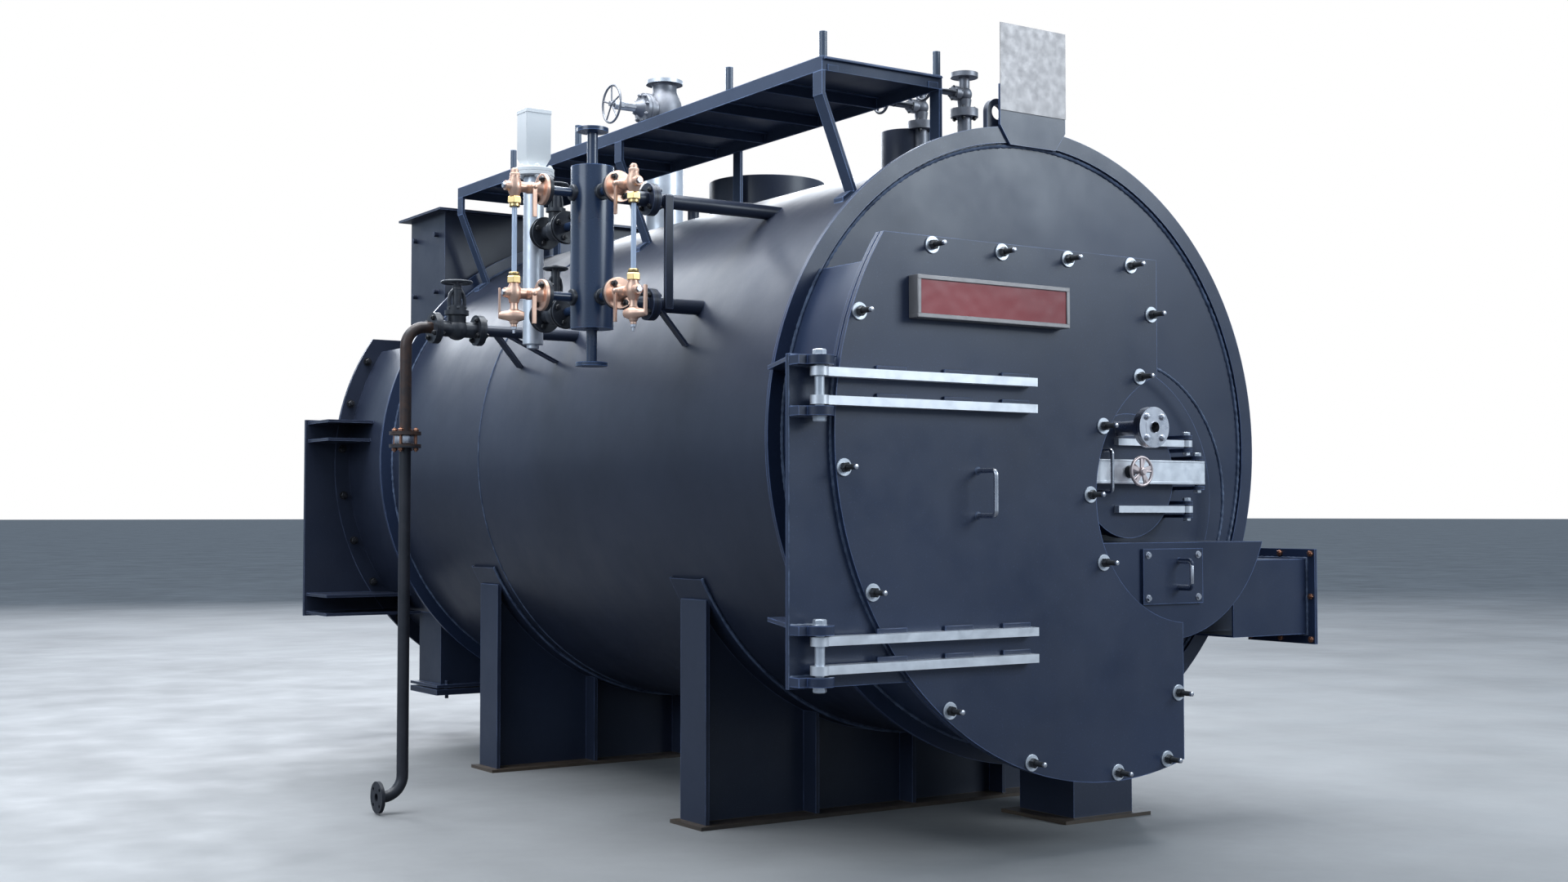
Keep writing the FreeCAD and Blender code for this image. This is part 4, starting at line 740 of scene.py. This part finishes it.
def ash_bolts(bm):
    low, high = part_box("ash_door")
    y = ASH_FACE_Y
    for x in (low.x + 0.022, high.x - 0.022):
        for z in (at(0, 0, ASH_TOP - ASH_HEIGHT).z + 0.02, at(0, 0, ASH_TOP).z - 0.02):
            add_lathe(bm, [(0.0, 0.0), (0.0115, 0.0), (0.0115, 0.0016), (0.006, 0.0018)], (x, y, z), OUT, 24)
            add_hex(bm, Vector((x, y - 0.0014, z)), OUT, 0.0088, 0.007, spin=x * 9)


piece("ash_door_bolts", ash_bolts, STEEL, "boiler")


def ash_grip(bm):
    """A bow handle with rounded corners."""
    front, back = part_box("ash_door")[0].y + 0.0065, ASH_FACE_Y + 0.001
    top = at(0, 0, GRIP_TOP - GRIP_INSET).z
    foot = at(0, 0, GRIP_TOP - GRIP_HEIGHT + GRIP_INSET).z
    bend, mid_bend = 0.012, 0.0035
    path = [(back, top), (front + bend, top), (front + mid_bend, top - mid_bend), (front, top - bend),
            (front, foot + bend), (front + mid_bend, foot + mid_bend), (front + bend, foot), (back, foot)]
    add_tube(bm, [(GRIP_X, y, z) for y, z in path], 0.0068, 14)


piece("ash_door_grip", ash_grip, STEEL, "boiler")


def duct_bolts(bm):
    """Three bolts along each side of the flange, on a three by three grid without its middle."""
    low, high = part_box("air_duct")
    x = high.x - 0.012
    ys = (low.y + 0.016, (low.y + high.y) / 2, high.y - 0.016)
    zs = (low.z + 0.016, (low.z + high.z) / 2, high.z - 0.016)
    for j, y in enumerate(ys):
        for k, z in enumerate(zs):
            if (j, k) != (1, 1):
                add_hex(bm, Vector((x, y, z)), LEFT, 0.0108, 0.0085, spin=0.4 * j + k)
                add_lathe(bm, [(0.0055, -0.0125), (0.0055, 0.0118), (0.0, 0.0122)], (x, y, z), LEFT, 12)


piece("duct_bolts", duct_bolts, COPPER, "boiler")
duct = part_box("air_duct")
DUCT_LIP = 0.032
y0, y1 = duct[0].y + DUCT_LIP, duct[1].y - DUCT_LIP
z0, z1 = duct[0].z + DUCT_LIP, duct[1].z - DUCT_LIP
corners = [Vector((duct[1].x - 0.014, y, z)) for y, z in ((y0, z0), (y0, z1), (y1, z1), (y1, z0))]
loop = [point for a, b in zip(corners, corners[1:] + corners[:1]) for point in line(a, b)[:-1]]
weld("weld_duct_flange", loop, 0.0045, True)

# Level fittings

GLASS_OUT = 0.268


def cock(bm_bronze, bm_brass, bm_silver, bm_dark, centre, out, side, upper):
    """One gauge cock. out points from the column to the glass, side to where its lever hangs."""
    face = centre - out * 0.088
    add_lathe(bm_bronze, [(0.0, -0.012), (0.0475, -0.012), (0.049, -0.0105), (0.049, -0.0015), (0.0475, 0.0),
                          (0.027, 0.0), (0.0235, 0.003), (0.0185, 0.014), (0.0165, 0.03), (0.0158, 0.06),
                          (0.0175, 0.07), (0.019, 0.082), (0.017, 0.094), (0.014, 0.101)], face, out, 40)
    for sign in (-1, 1):
        spot = face + (side * 0.55 + UP * 0.84) * 0.034 * sign
        add_hex(bm_dark, spot, out, 0.0105, 0.009, spin=0.3)
        add_hex(bm_dark, spot - out * 0.024, -out, 0.0105, 0.009, spin=0.8)
        add_lathe(bm_dark, [(0.0055, -0.026), (0.0055, 0.0135), (0, 0.014)], spot, out, 12)
    # plug with its lever
    plug = centre - out * 0.052
    add_lathe(bm_bronze, [(0.0, -0.029), (0.0115, -0.028), (0.0135, -0.022), (0.0165, -0.015), (0.018, 0.0),
                          (0.0165, 0.015), (0.0135, 0.021), (0.0115, 0.029), (0.0, 0.030)], plug, side, 28)
    add_hex(bm_silver, plug - side * 0.028, -side, 0.0095, 0.008, spin=0.4)
    add_lathe(bm_bronze, [(0.0105, 0.028), (0.009, 0.037), (0.005, 0.042), (0.0, 0.043)], plug, side, 20)
    turn = Matrix.Translation(plug + side * 0.034) @ Matrix((side, out, UP)).transposed().to_4x4()
    add_box(bm_bronze, (-0.0032, -0.0068, -0.094), (0.0032, 0.0068, 0.006), turn)
    # body
    add_lathe(bm_bronze, [(0.0, -0.031), (0.0145, -0.031), (0.016, -0.024), (0.0215, -0.012), (0.0228, 0.0),
                          (0.0215, 0.012), (0.016, 0.024), (0.0148, 0.032), (0.0, 0.032)], centre, UP, 36)
    add_lathe(bm_bronze, [(0.016, 0.0), (0.016, 0.022), (0.0148, 0.027), (0.0148, 0.033), (0.0, 0.034)],
              centre, out, 28)
    add_hex(bm_silver, centre + out * 0.033, out, 0.0098, 0.0075, spin=0.2)
    # the glass holder, which faces the glass; grow points away from it
    grow = UP if upper else -UP
    if upper:
        add_hex(bm_bronze, centre + UP * 0.031, UP, 0.0165, 0.011, spin=0.3)
        add_lathe(bm_bronze, [(0.012, 0.042), (0.012, 0.049), (0.008, 0.056), (0.0, 0.057)], centre, UP, 20)
    add_hex(bm_brass, centre - grow * (0.052 if upper else 0.031), UP, 0.0225, 0.021)
    add_lathe(bm_brass, [(0.0, 0.0), (0.0155, 0.0), (0.0165, 0.002), (0.0165, 0.01), (0.0148, 0.012)],
              centre - grow * 0.052, -grow, 28)
    if not upper:
        add_lathe(bm_bronze, [(0.0125, 0.028), (0.0115, 0.045), (0.014, 0.052)], centre, -UP, 24)
        drain = centre - UP * 0.070
        lie = (out * 0.9 + side * -0.44).normalized()
        add_lathe(bm_bronze, [(0.0, -0.032), (0.0125, -0.031), (0.0165, -0.02), (0.021, -0.006),
                              (0.021, 0.008), (0.015, 0.02), (0.0125, 0.034), (0.010, 0.046), (0.0, 0.048)],
                  drain, lie, 30)
        add_lathe(bm_bronze, [(0.015, 0.012), (0.0125, 0.024), (0.0095, 0.026), (0.0095, 0.034),
                              (0.0, 0.034)], drain, -UP, 24)
        add_hex(bm_silver, drain - UP * 0.034, -UP, 0.0085, 0.009, spin=0.1)
        add_lathe(bm_silver, [(0.0042, 0.043), (0.0042, 0.054), (0.0, 0.055)], drain, -UP, 12)
        lever = Matrix((lie, lie.cross(UP) * -1, UP)).transposed().to_4x4()
        lever = Matrix.Translation(drain + lie * 0.044) @ lever
        add_box(bm_bronze, (-0.0035, -0.0065, -0.008), (0.0035, 0.0065, 0.084), lever)


layers = {name: bmesh.new() for name in ("bronze", "brass", "silver", "dark")}
for out, side in ((LEFT, OUT), (OUT, LEFT)):
    for rise, upper in zip(GLASS_RISES, (True, False)):
        cock(*layers.values(), at(COLUMN_X, COLUMN_Y, rise) + out * GLASS_OUT, out, side, upper)


def from_layer(name, layer, material, edge=0.0):
    """A piece from one of the layers."""
    scratch = bpy.data.meshes.new("scratch")
    layers[layer].to_mesh(scratch)
    layers[layer].free()
    return piece(name, lambda bm: bm.from_mesh(scratch), material, "boiler", edge)


bronze = from_layer("cock_bodies", "bronze", BRASS, edge=0.0008)
from_layer("cock_gland_nuts", "brass", NUT, edge=0.0006)
from_layer("cock_nuts", "silver", STEEL)
from_layer("cock_flange_bolts", "dark", BLACK)
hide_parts("gauge_cocks")


def stub_flanges(bm):
    """Steel flanges that the cocks bolt to, and the bosses on the column."""
    boss = [(0.0265, 0.060), (0.026, 0.0735), (0.024, 0.076), (0.014, 0.077)]
    for rise in GLASS_RISES:
        root = at(COLUMN_X, COLUMN_Y, rise)
        for out in (LEFT, OUT):
            add_lathe(bm, [(0.014, -0.024), (0.0475, -0.024), (0.049, -0.0225), (0.049, -0.0135),
                           (0.0475, -0.012), (0.014, -0.012)], root + out * 0.180, out, 40)
            add_lathe(bm, boss, root, out, 32)
    for rise in ISOLATOR_RISES:
        add_lathe(bm, boss, at(COLUMN_X, COLUMN_Y, rise), BACK, 32)


piece("gauge_stub_flanges", stub_flanges, CAST, "boiler")


HEADER_JOINTS = [at(-1051, COLUMN_Y, rise) for rise in HEADER_RISES]
FEED_VALVE_JOINTS = [at(FEED_X + x, FEED_Y, FEED_RISE) for x in (-82, 82)]
ISOLATOR_JOINTS = [at(COLUMN_X, ISOLATOR_Y + y, rise) for rise in ISOLATOR_RISES for y in (-75, 75)]


def level_bolts(bm):
    for spot in HEADER_JOINTS:
        flange_bolts(bm, spot, RIGHT, 0.038, 0.028, 0.0095)
    for spot in ISOLATOR_JOINTS:
        flange_bolts(bm, spot, BACK, 0.037, 0.024, 0.0095, start=20)
    for spot in FEED_VALVE_JOINTS:
        flange_bolts(bm, spot, RIGHT, 0.039, 0.024, 0.0095, start=30)


piece("flange_bolts_dark", level_bolts, BLACK, "boiler")


def gaskets(bm):
    """A thin dark disc between the flanges of each pair."""
    for spots, axis, radius in ((HEADER_JOINTS, RIGHT, 0.0525), (FEED_VALVE_JOINTS, RIGHT, 0.0545),
                                (ISOLATOR_JOINTS, BACK, 0.0545)):
        profile = [(0.0, -0.0012), (radius, -0.0012), (radius, 0.0012), (0.0, 0.0012)]
        for spot in spots:
            add_lathe(bm, profile, spot, axis, 40)


piece("flange_gaskets", gaskets, BLACK, "boiler")


def feed_joint(bm):
    flange_bolts(bm, at(FEED_JOINT_X, FEED_Y, FEED_JOINT_RISE + 6), UP, 0.039, 0.058, 0.0095, start=45)


piece("feed_joint_bolts", feed_joint, COPPER, "boiler")


def feed_gasket(bm):
    add_lathe(bm, [(0.0, -0.0145), (0.036, -0.0145), (0.0365, -0.013), (0.0365, 0.013), (0.036, 0.0145),
                   (0, 0.0145)], at(FEED_JOINT_X, FEED_Y, FEED_JOINT_RISE + 7), UP, 40)


piece("feed_joint_faces", feed_gasket, STEEL, "boiler")


# Centre, axis, reach, half width and foot of each yoke
YOKES = ([(at(COLUMN_X, ISOLATOR_Y, rise), UP, 0.150, 0.020, 0.070) for rise in ISOLATOR_RISES]
         + [(at(FEED_X, FEED_Y, FEED_RISE), UP, 0.165, 0.026, 0.078)]
         + [(at(0, y, TOP_VALVE_RISE + 67.2), LEFT, 0.140, 0.018, 0.052) for y in TOP_VALVE_YS])


def yokes(bm):
    """Open yokes and bonnet nuts of the valves."""
    for origin, axis, reach, spread, start in YOKES:
        side = BACK if abs(axis.x) > 0.5 else RIGHT
        top = reach * 0.86
        for sign in (-1, 1):
            path = [origin + axis * (start + (top - start) * share) + side * sign * spread * wide
                    for share, wide in ((0, 1.05), (0.35, 1.12), (0.75, 0.9), (1, 0.35))]
            add_tube(bm, path, spread * 0.26, 10)
        add_lathe(bm, [(0.0, -0.004), (spread * 0.62, -0.004), (spread * 0.66, 0.0), (spread * 0.55, 0.008),
                       (0, 0.009)], origin + axis * top, axis, 24)
        for spot in ring_points(origin + axis * start * 0.92, axis, spread * 1.25, 6, 15):
            add_hex(bm, spot, axis, spread * 0.2, spread * 0.26)


piece("valve_yokes", yokes, CAST, "boiler")


def top_bolts(bm):
    flange_bolts(bm, at(0, STEAM_Y, STEAM_RISE + 8), UP, 0.068, 0.018, 0.009)
    for y in TOP_VALVE_YS:
        flange_bolts(bm, at(0, y, TOP_VALVE_RISE), UP, 0.034, 0.026, 0.008)


piece("top_flange_bolts", top_bolts, BLACK, "boiler")


def steam_neck_flange(bm):
    add_lathe(bm, [(0.06, -0.018), (0.08, -0.018), (0.0815, -0.016), (0.0815, -0.002), (0.08, 0.0),
                   (0.06, 0.0)], at(0, STEAM_Y, STEAM_RISE), UP, 48)


def steam_body(bm):
    """Globe, inlet cone and bonnet of the steam valve, fuller than a plain ball."""
    base = at(0, STEAM_Y, STEAM_RISE)
    add_lathe(bm, [(0.079, 0.0), (0.0795, 0.016), (0.058, 0.018), (0.055, 0.03), (0.062, 0.055),
                   (0.074, 0.085), (0.0785, 0.118), (0.075, 0.15), (0.064, 0.178), (0.054, 0.2),
                   (0.053, 0.226), (0.058, 0.233), (0.0795, 0.234), (0.0795, 0.2495), (0.03, 0.25)],
              base, UP, 56)
    middle = at(0, STEAM_Y, STEAM_RISE + 120)
    add_lathe(bm, [(0.055, 0.03), (0.052, 0.072), (0.066, 0.076), (0.067, 0.09), (0.066, 0.094),
                   (0.062, 0.0945), (0.066, 0.095), (0.067, 0.099), (0.066, 0.112), (0.04, 0.114),
                   (0.03, 0.13), (0.022, 0.15), (0.015, 0.155)], middle, LEFT, 44)
    for spot in ring_points(middle + LEFT * 0.112, LEFT, 0.057, 8, 11):
        add_hex(bm, spot, LEFT, 0.0085, 0.009)
        add_lathe(bm, [(0.0045, 0.0), (0.0045, 0.0135), (0, 0.014)], spot, LEFT, 10)
    for sign in (-1, 1):
        turn = Matrix.Translation(middle + Vector((-0.17, 0.017 * sign, 0)))
        add_box(bm, (-0.045, -0.0045, -0.009), (0.055, 0.0045, 0.009), turn)
    add_box(bm, (-0.010, -0.0225, -0.012), (0.006, 0.0225, 0.012), Matrix.Translation(middle + LEFT * 0.214))


piece("steam_valve_body", steam_body, AGED, "boiler", edge=0.001)
piece("steam_neck_flange", steam_neck_flange, SILVER, "boiler")

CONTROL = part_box("level_controller")
CONTROL_X, CONTROL_Y = (CONTROL[0].x + CONTROL[1].x) / 2, (CONTROL[0].y + CONTROL[1].y) / 2
HEAD_Z = CONTROL[0].z + 0.014 + 0.562
HEAD_THICK = 0.026


def chamber(bm):
    base = (CONTROL_X, CONTROL_Y, CONTROL[0].z)
    add_lathe(bm, [(0.0, 0.0), (0.019, 0.0), (0.0205, 0.002), (0.0205, 0.012), (0.033, 0.0135),
                   (0.034, 0.015), (0.034, 0.574), (0.0, 0.575)], base, UP, 48)


chamber_piece = piece("controller_chamber", chamber, SILVER, "boiler")


def chamber_head(bm):
    base = Vector((CONTROL_X, CONTROL_Y, HEAD_Z))
    add_lathe(bm, [(0.034, 0.0), (0.0665, 0.0), (0.068, 0.0015), (0.068, 0.0115), (0.0665, 0.0125),
                   (0.0655, 0.013), (0.0665, 0.0135), (0.068, 0.0145), (0.068, 0.0245), (0.0665, HEAD_THICK),
                   (0.0, HEAD_THICK)], base, UP, 56)
    flange_bolts(bm, base + UP * HEAD_THICK / 2, UP, 0.056, HEAD_THICK, 0.0085, count=6, start=15)


piece("controller_head", chamber_head, GREY, "boiler")


def control_box(bm):
    """A neck that widens into the box, and its lid."""
    low, top = HEAD_Z + HEAD_THICK, CONTROL[1].z
    wide, deep = 0.045, 0.036
    outline = ((0.028, 0.023, low), (0.03, 0.025, low + 0.006), (wide, deep, low + 0.036),
               (wide, deep, top - 0.016), (wide + 0.0015, deep + 0.0015, top - 0.0155),
               (wide + 0.0015, deep + 0.0015, top - 0.002), (wide - 0.002, deep - 0.002, top))
    corners = ((-1, -1), (1, -1), (1, 1), (-1, 1))
    add_skin(bm, [[bm.verts.new((CONTROL_X + sx * a, CONTROL_Y + sy * b, z)) for sx, sy in corners]
                  for a, b, z in outline])


piece("controller_box", control_box, GREY, "boiler", edge=0.003)
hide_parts("level_controller")

# Rear flange bolts, saddle welds and the flue's studs

rear_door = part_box("rear_door")
REAR_BOLT_R = 1.006


def rear_bolts(bm):
    for angle in range(152, 262, 12):
        turn = math.radians(angle)
        spot = Vector((REAR_BOLT_R * math.cos(turn), rear_door[0].y, AXIS_Z + REAR_BOLT_R * math.sin(turn)))
        add_lathe(bm, [(0.0, 0.0), (0.019, 0.0), (0.019, 0.003), (0.01, 0.003)], spot, OUT, 24)
        add_hex(bm, spot + OUT * 0.003, OUT, 0.0145, 0.0135, spin=turn)
        add_lathe(bm, [(0.008, 0.0), (0.008, 0.03), (0.0, 0.031)], spot, OUT, 14)
    for x in (-0.6, -0.35, -0.1, 0.15, 0.4, 0.65):
        spot = Vector((x, rear_door[0].y, rear_door[1].z - 0.026))
        add_hex(bm, spot, OUT, 0.0145, 0.0135)


piece("rear_flange_bolts", rear_bolts, BLACK, "boiler")


def flue_studs(bm):
    low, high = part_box("flue_outlet")
    x = low.x + 0.045
    stud = [(0.0, 0.0), (0.011, 0.0), (0.011, 0.022), (0.0, 0.023)]
    for drop in (0.105, 0.36):
        for y in (low.y + 0.12, low.y + 0.36):
            add_lathe(bm, stud, (x, y, high.z - drop), LEFT, 20)


piece("flue_studs", flue_studs, DARK, "boiler")
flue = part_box("flue_outlet")
FLUE_LIP = 0.045
z = flue[0].z + 0.003
for side, x in (("left", flue[0].x + 0.0445), ("right", flue[1].x - 0.0445)):
    weld(f"weld_flue_{side}", line((x, flue[0].y + FLUE_LIP, z), (x, flue[1].y - FLUE_LIP, z)), 0.005)
y = flue[0].y + 0.0445
weld("weld_flue_front", line((flue[0].x + FLUE_LIP, y, z), (flue[1].x - FLUE_LIP, y, z)), 0.005)

WRAP_R = 0.985
for index, (_, low, high) in enumerate(sorted(loose_parts("saddles"), key=lambda item: item[0].y)):
    rise = high.z - AXIS_Z
    left_end = math.degrees(math.atan2(rise, -math.sqrt(max(0, WRAP_R ** 2 - rise ** 2)))) % 360
    for edge_y, tag in ((low.y - 0.001, "front"), (high.y + 0.001, "back")):
        points = arc((0, AXIS_Z), 0.9785, left_end, 540 - left_end, edge_y, 0.009)
        weld(f"weld_wrap_{index}_{tag}", points, 0.0045)

for name, radius, start, end, y, bead in (
        ("weld_smokebox_root", 0.975, 149, 262, FACE_Y - 0.001, 0.0055),
        ("weld_smokebox_lip", 0.9745, 149, 262, FACE_Y - 0.3165, 0.0045),
        ("weld_hinge_plate", 1.0385, 168.5, 222, FACE_Y - 0.335, 0.0045)):
    weld(name, arc((0, AXIS_Z), radius, start, end, y), bead)
weld("weld_hinge_edge", line(at(-1174.5, -334, -698), at(-1174.5, -334, 209)), 0.0018)


def deck_trim(bm):
    """Clips under the front edge and the top plates of the frame."""
    low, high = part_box("walkway_frame")
    for x in (low.x + 0.02, high.x - 0.06):
        add_box(bm, (x, low.y - 0.004, low.z - 0.002), (x + 0.04, low.y, low.z + 0.02))
    plates = 9
    for step in range(plates):
        y = low.y + 0.006 + (high.y - low.y - 0.012) * step / (plates - 1)
        add_box(bm, (low.x + 0.006, y - 0.018, low.z + 0.034), (high.x - 0.006, y + 0.018, low.z + 0.0395))


piece("walkway_trim", deck_trim, DECK, "boiler", edge=0.001)

for name, centre, radius, count, bead in (
        ("weld_steam_neck", at(0, STEAM_Y, 974), 0.084, 90, 0.004),
        ("weld_column_top", at(COLUMN_X, COLUMN_Y, 868), 0.0195, 28, 0.0025),
        ("weld_column_low", at(COLUMN_X, COLUMN_Y, 354), 0.0195, 28, 0.0025)):
    weld(name, ring_points(centre, UP, radius, count), bead, True)


def neck_weld(radius, y, step=0.008):
    """Points round an upright neck, where it meets the shell."""
    count = int(2 * math.pi * radius / step)
    points = []
    for k in range(count):
        turn = 2 * math.pi * k / count
        x = radius * math.cos(turn)
        z = AXIS_Z + math.sqrt(SHELL_R ** 2 - x * x) + 0.001
        points.append(Vector((x, FACE_Y + y + radius * math.sin(turn), z)))
    return points


weld("weld_manhole", neck_weld(0.230, 1.567), 0.006, True)
weld("weld_vent_neck", neck_weld(0.090, 0.668), 0.005, True)

# Camera

view_camera = bpy.data.objects.new("camera", bpy.data.cameras.new("camera"))
bpy.context.scene.collection.objects.link(view_camera)
view_camera.location = (-3.9286, -5.1352, 1.0149)
view_camera.rotation_euler = (math.radians(92.323), 0, math.radians(-33.7916))
view_camera.data.sensor_width = 36
view_camera.data.lens = 41.776
view_camera.data.clip_end = 1500
bpy.context.scene.camera = view_camera

# Stage
bm = bmesh.new()
bmesh.ops.create_grid(bm, x_segments=1, y_segments=1, size=400)
mesh = bpy.data.meshes.new("floor")
bm.to_mesh(mesh)
bm.free()
floor = bpy.data.objects.new("floor", mesh)
bpy.context.scene.collection.objects.link(floor)
ground = Surface("floor_grey", specular=0.3)
# the camera sees a lighter, cloudy grey than the boiler does
ray = ground.tree.nodes.new("ShaderNodeLightPath").outputs["Is Camera Ray"]
cloud = ground.span(ground.noise(0.8, 6), 0.3, 0.7, 0, 1)
ground.colour(ground.mix(ray, (0.085, 0.09, 0.10), ground.mix(cloud, (0.19, 0.19, 0.19), (0.26, 0.26, 0.26))))
ground.rough(ground.span(ground.noise(3, 4), 0.3, 0.7, 0.55, 0.8))
mesh.materials.append(ground.material)


def area(name, place, target, size, power, colour):
    """An area lamp that the camera doesn't see."""
    lamp = bpy.data.lights.new(name, "AREA")
    lamp.shape = "RECTANGLE"
    lamp.size, lamp.size_y = size
    lamp.energy = power
    lamp.color = colour
    obj = bpy.data.objects.new(name, lamp)
    bpy.context.scene.collection.objects.link(obj)
    obj.location = place
    obj.visible_camera = False
    obj.rotation_euler = (Vector(target) - Vector(place)).to_track_quat("-Z", "Y").to_euler()


area("key", (5.5, -8.5, 5.6), (0.2, -0.5, 1.2), (5, 4), 560, (0.82, 0.92, 1.0))
area("left", (-9.0, -1.0, 4.6), (-0.5, 1.0, 1.4), (5, 3), 190, (0.80, 0.90, 1.0))
area("top", (-0.8, 1.0, 7.0), (0, 0.8, 1), (5, 9), 1000, (0.90, 0.95, 1.0))
area("back", (3.6, 12.5, 7.5), (-0.6, 0.8, 1.9), (13, 6), 2200, (0.90, 0.94, 1.0))

# White to the camera, a dimmer blue to everything else
world = bpy.data.worlds.new("studio")
bpy.context.scene.world = world
world.use_nodes = True
tree = world.node_tree
backdrop = tree.nodes["Background"]
backdrop.inputs["Color"].default_value = (1, 1, 1, 1)
backdrop.inputs["Strength"].default_value = 1.0
fill = tree.nodes.new("ShaderNodeBackground")
fill.inputs["Color"].default_value = (0.64, 0.80, 1.0, 1)
fill.inputs["Strength"].default_value = 0.62
path = tree.nodes.new("ShaderNodeLightPath")
choose = tree.nodes.new("ShaderNodeMixShader")
tree.links.new(path.outputs["Is Camera Ray"], choose.inputs[0])
tree.links.new(fill.outputs[0], choose.inputs[1])
tree.links.new(backdrop.outputs[0], choose.inputs[2])
tree.links.new(choose.outputs[0], tree.nodes["World Output"].inputs["Surface"])

scene = bpy.context.scene
scene.view_settings.view_transform = "Standard"
scene.view_settings.look = "None"
scene.view_settings.exposure = 0.0
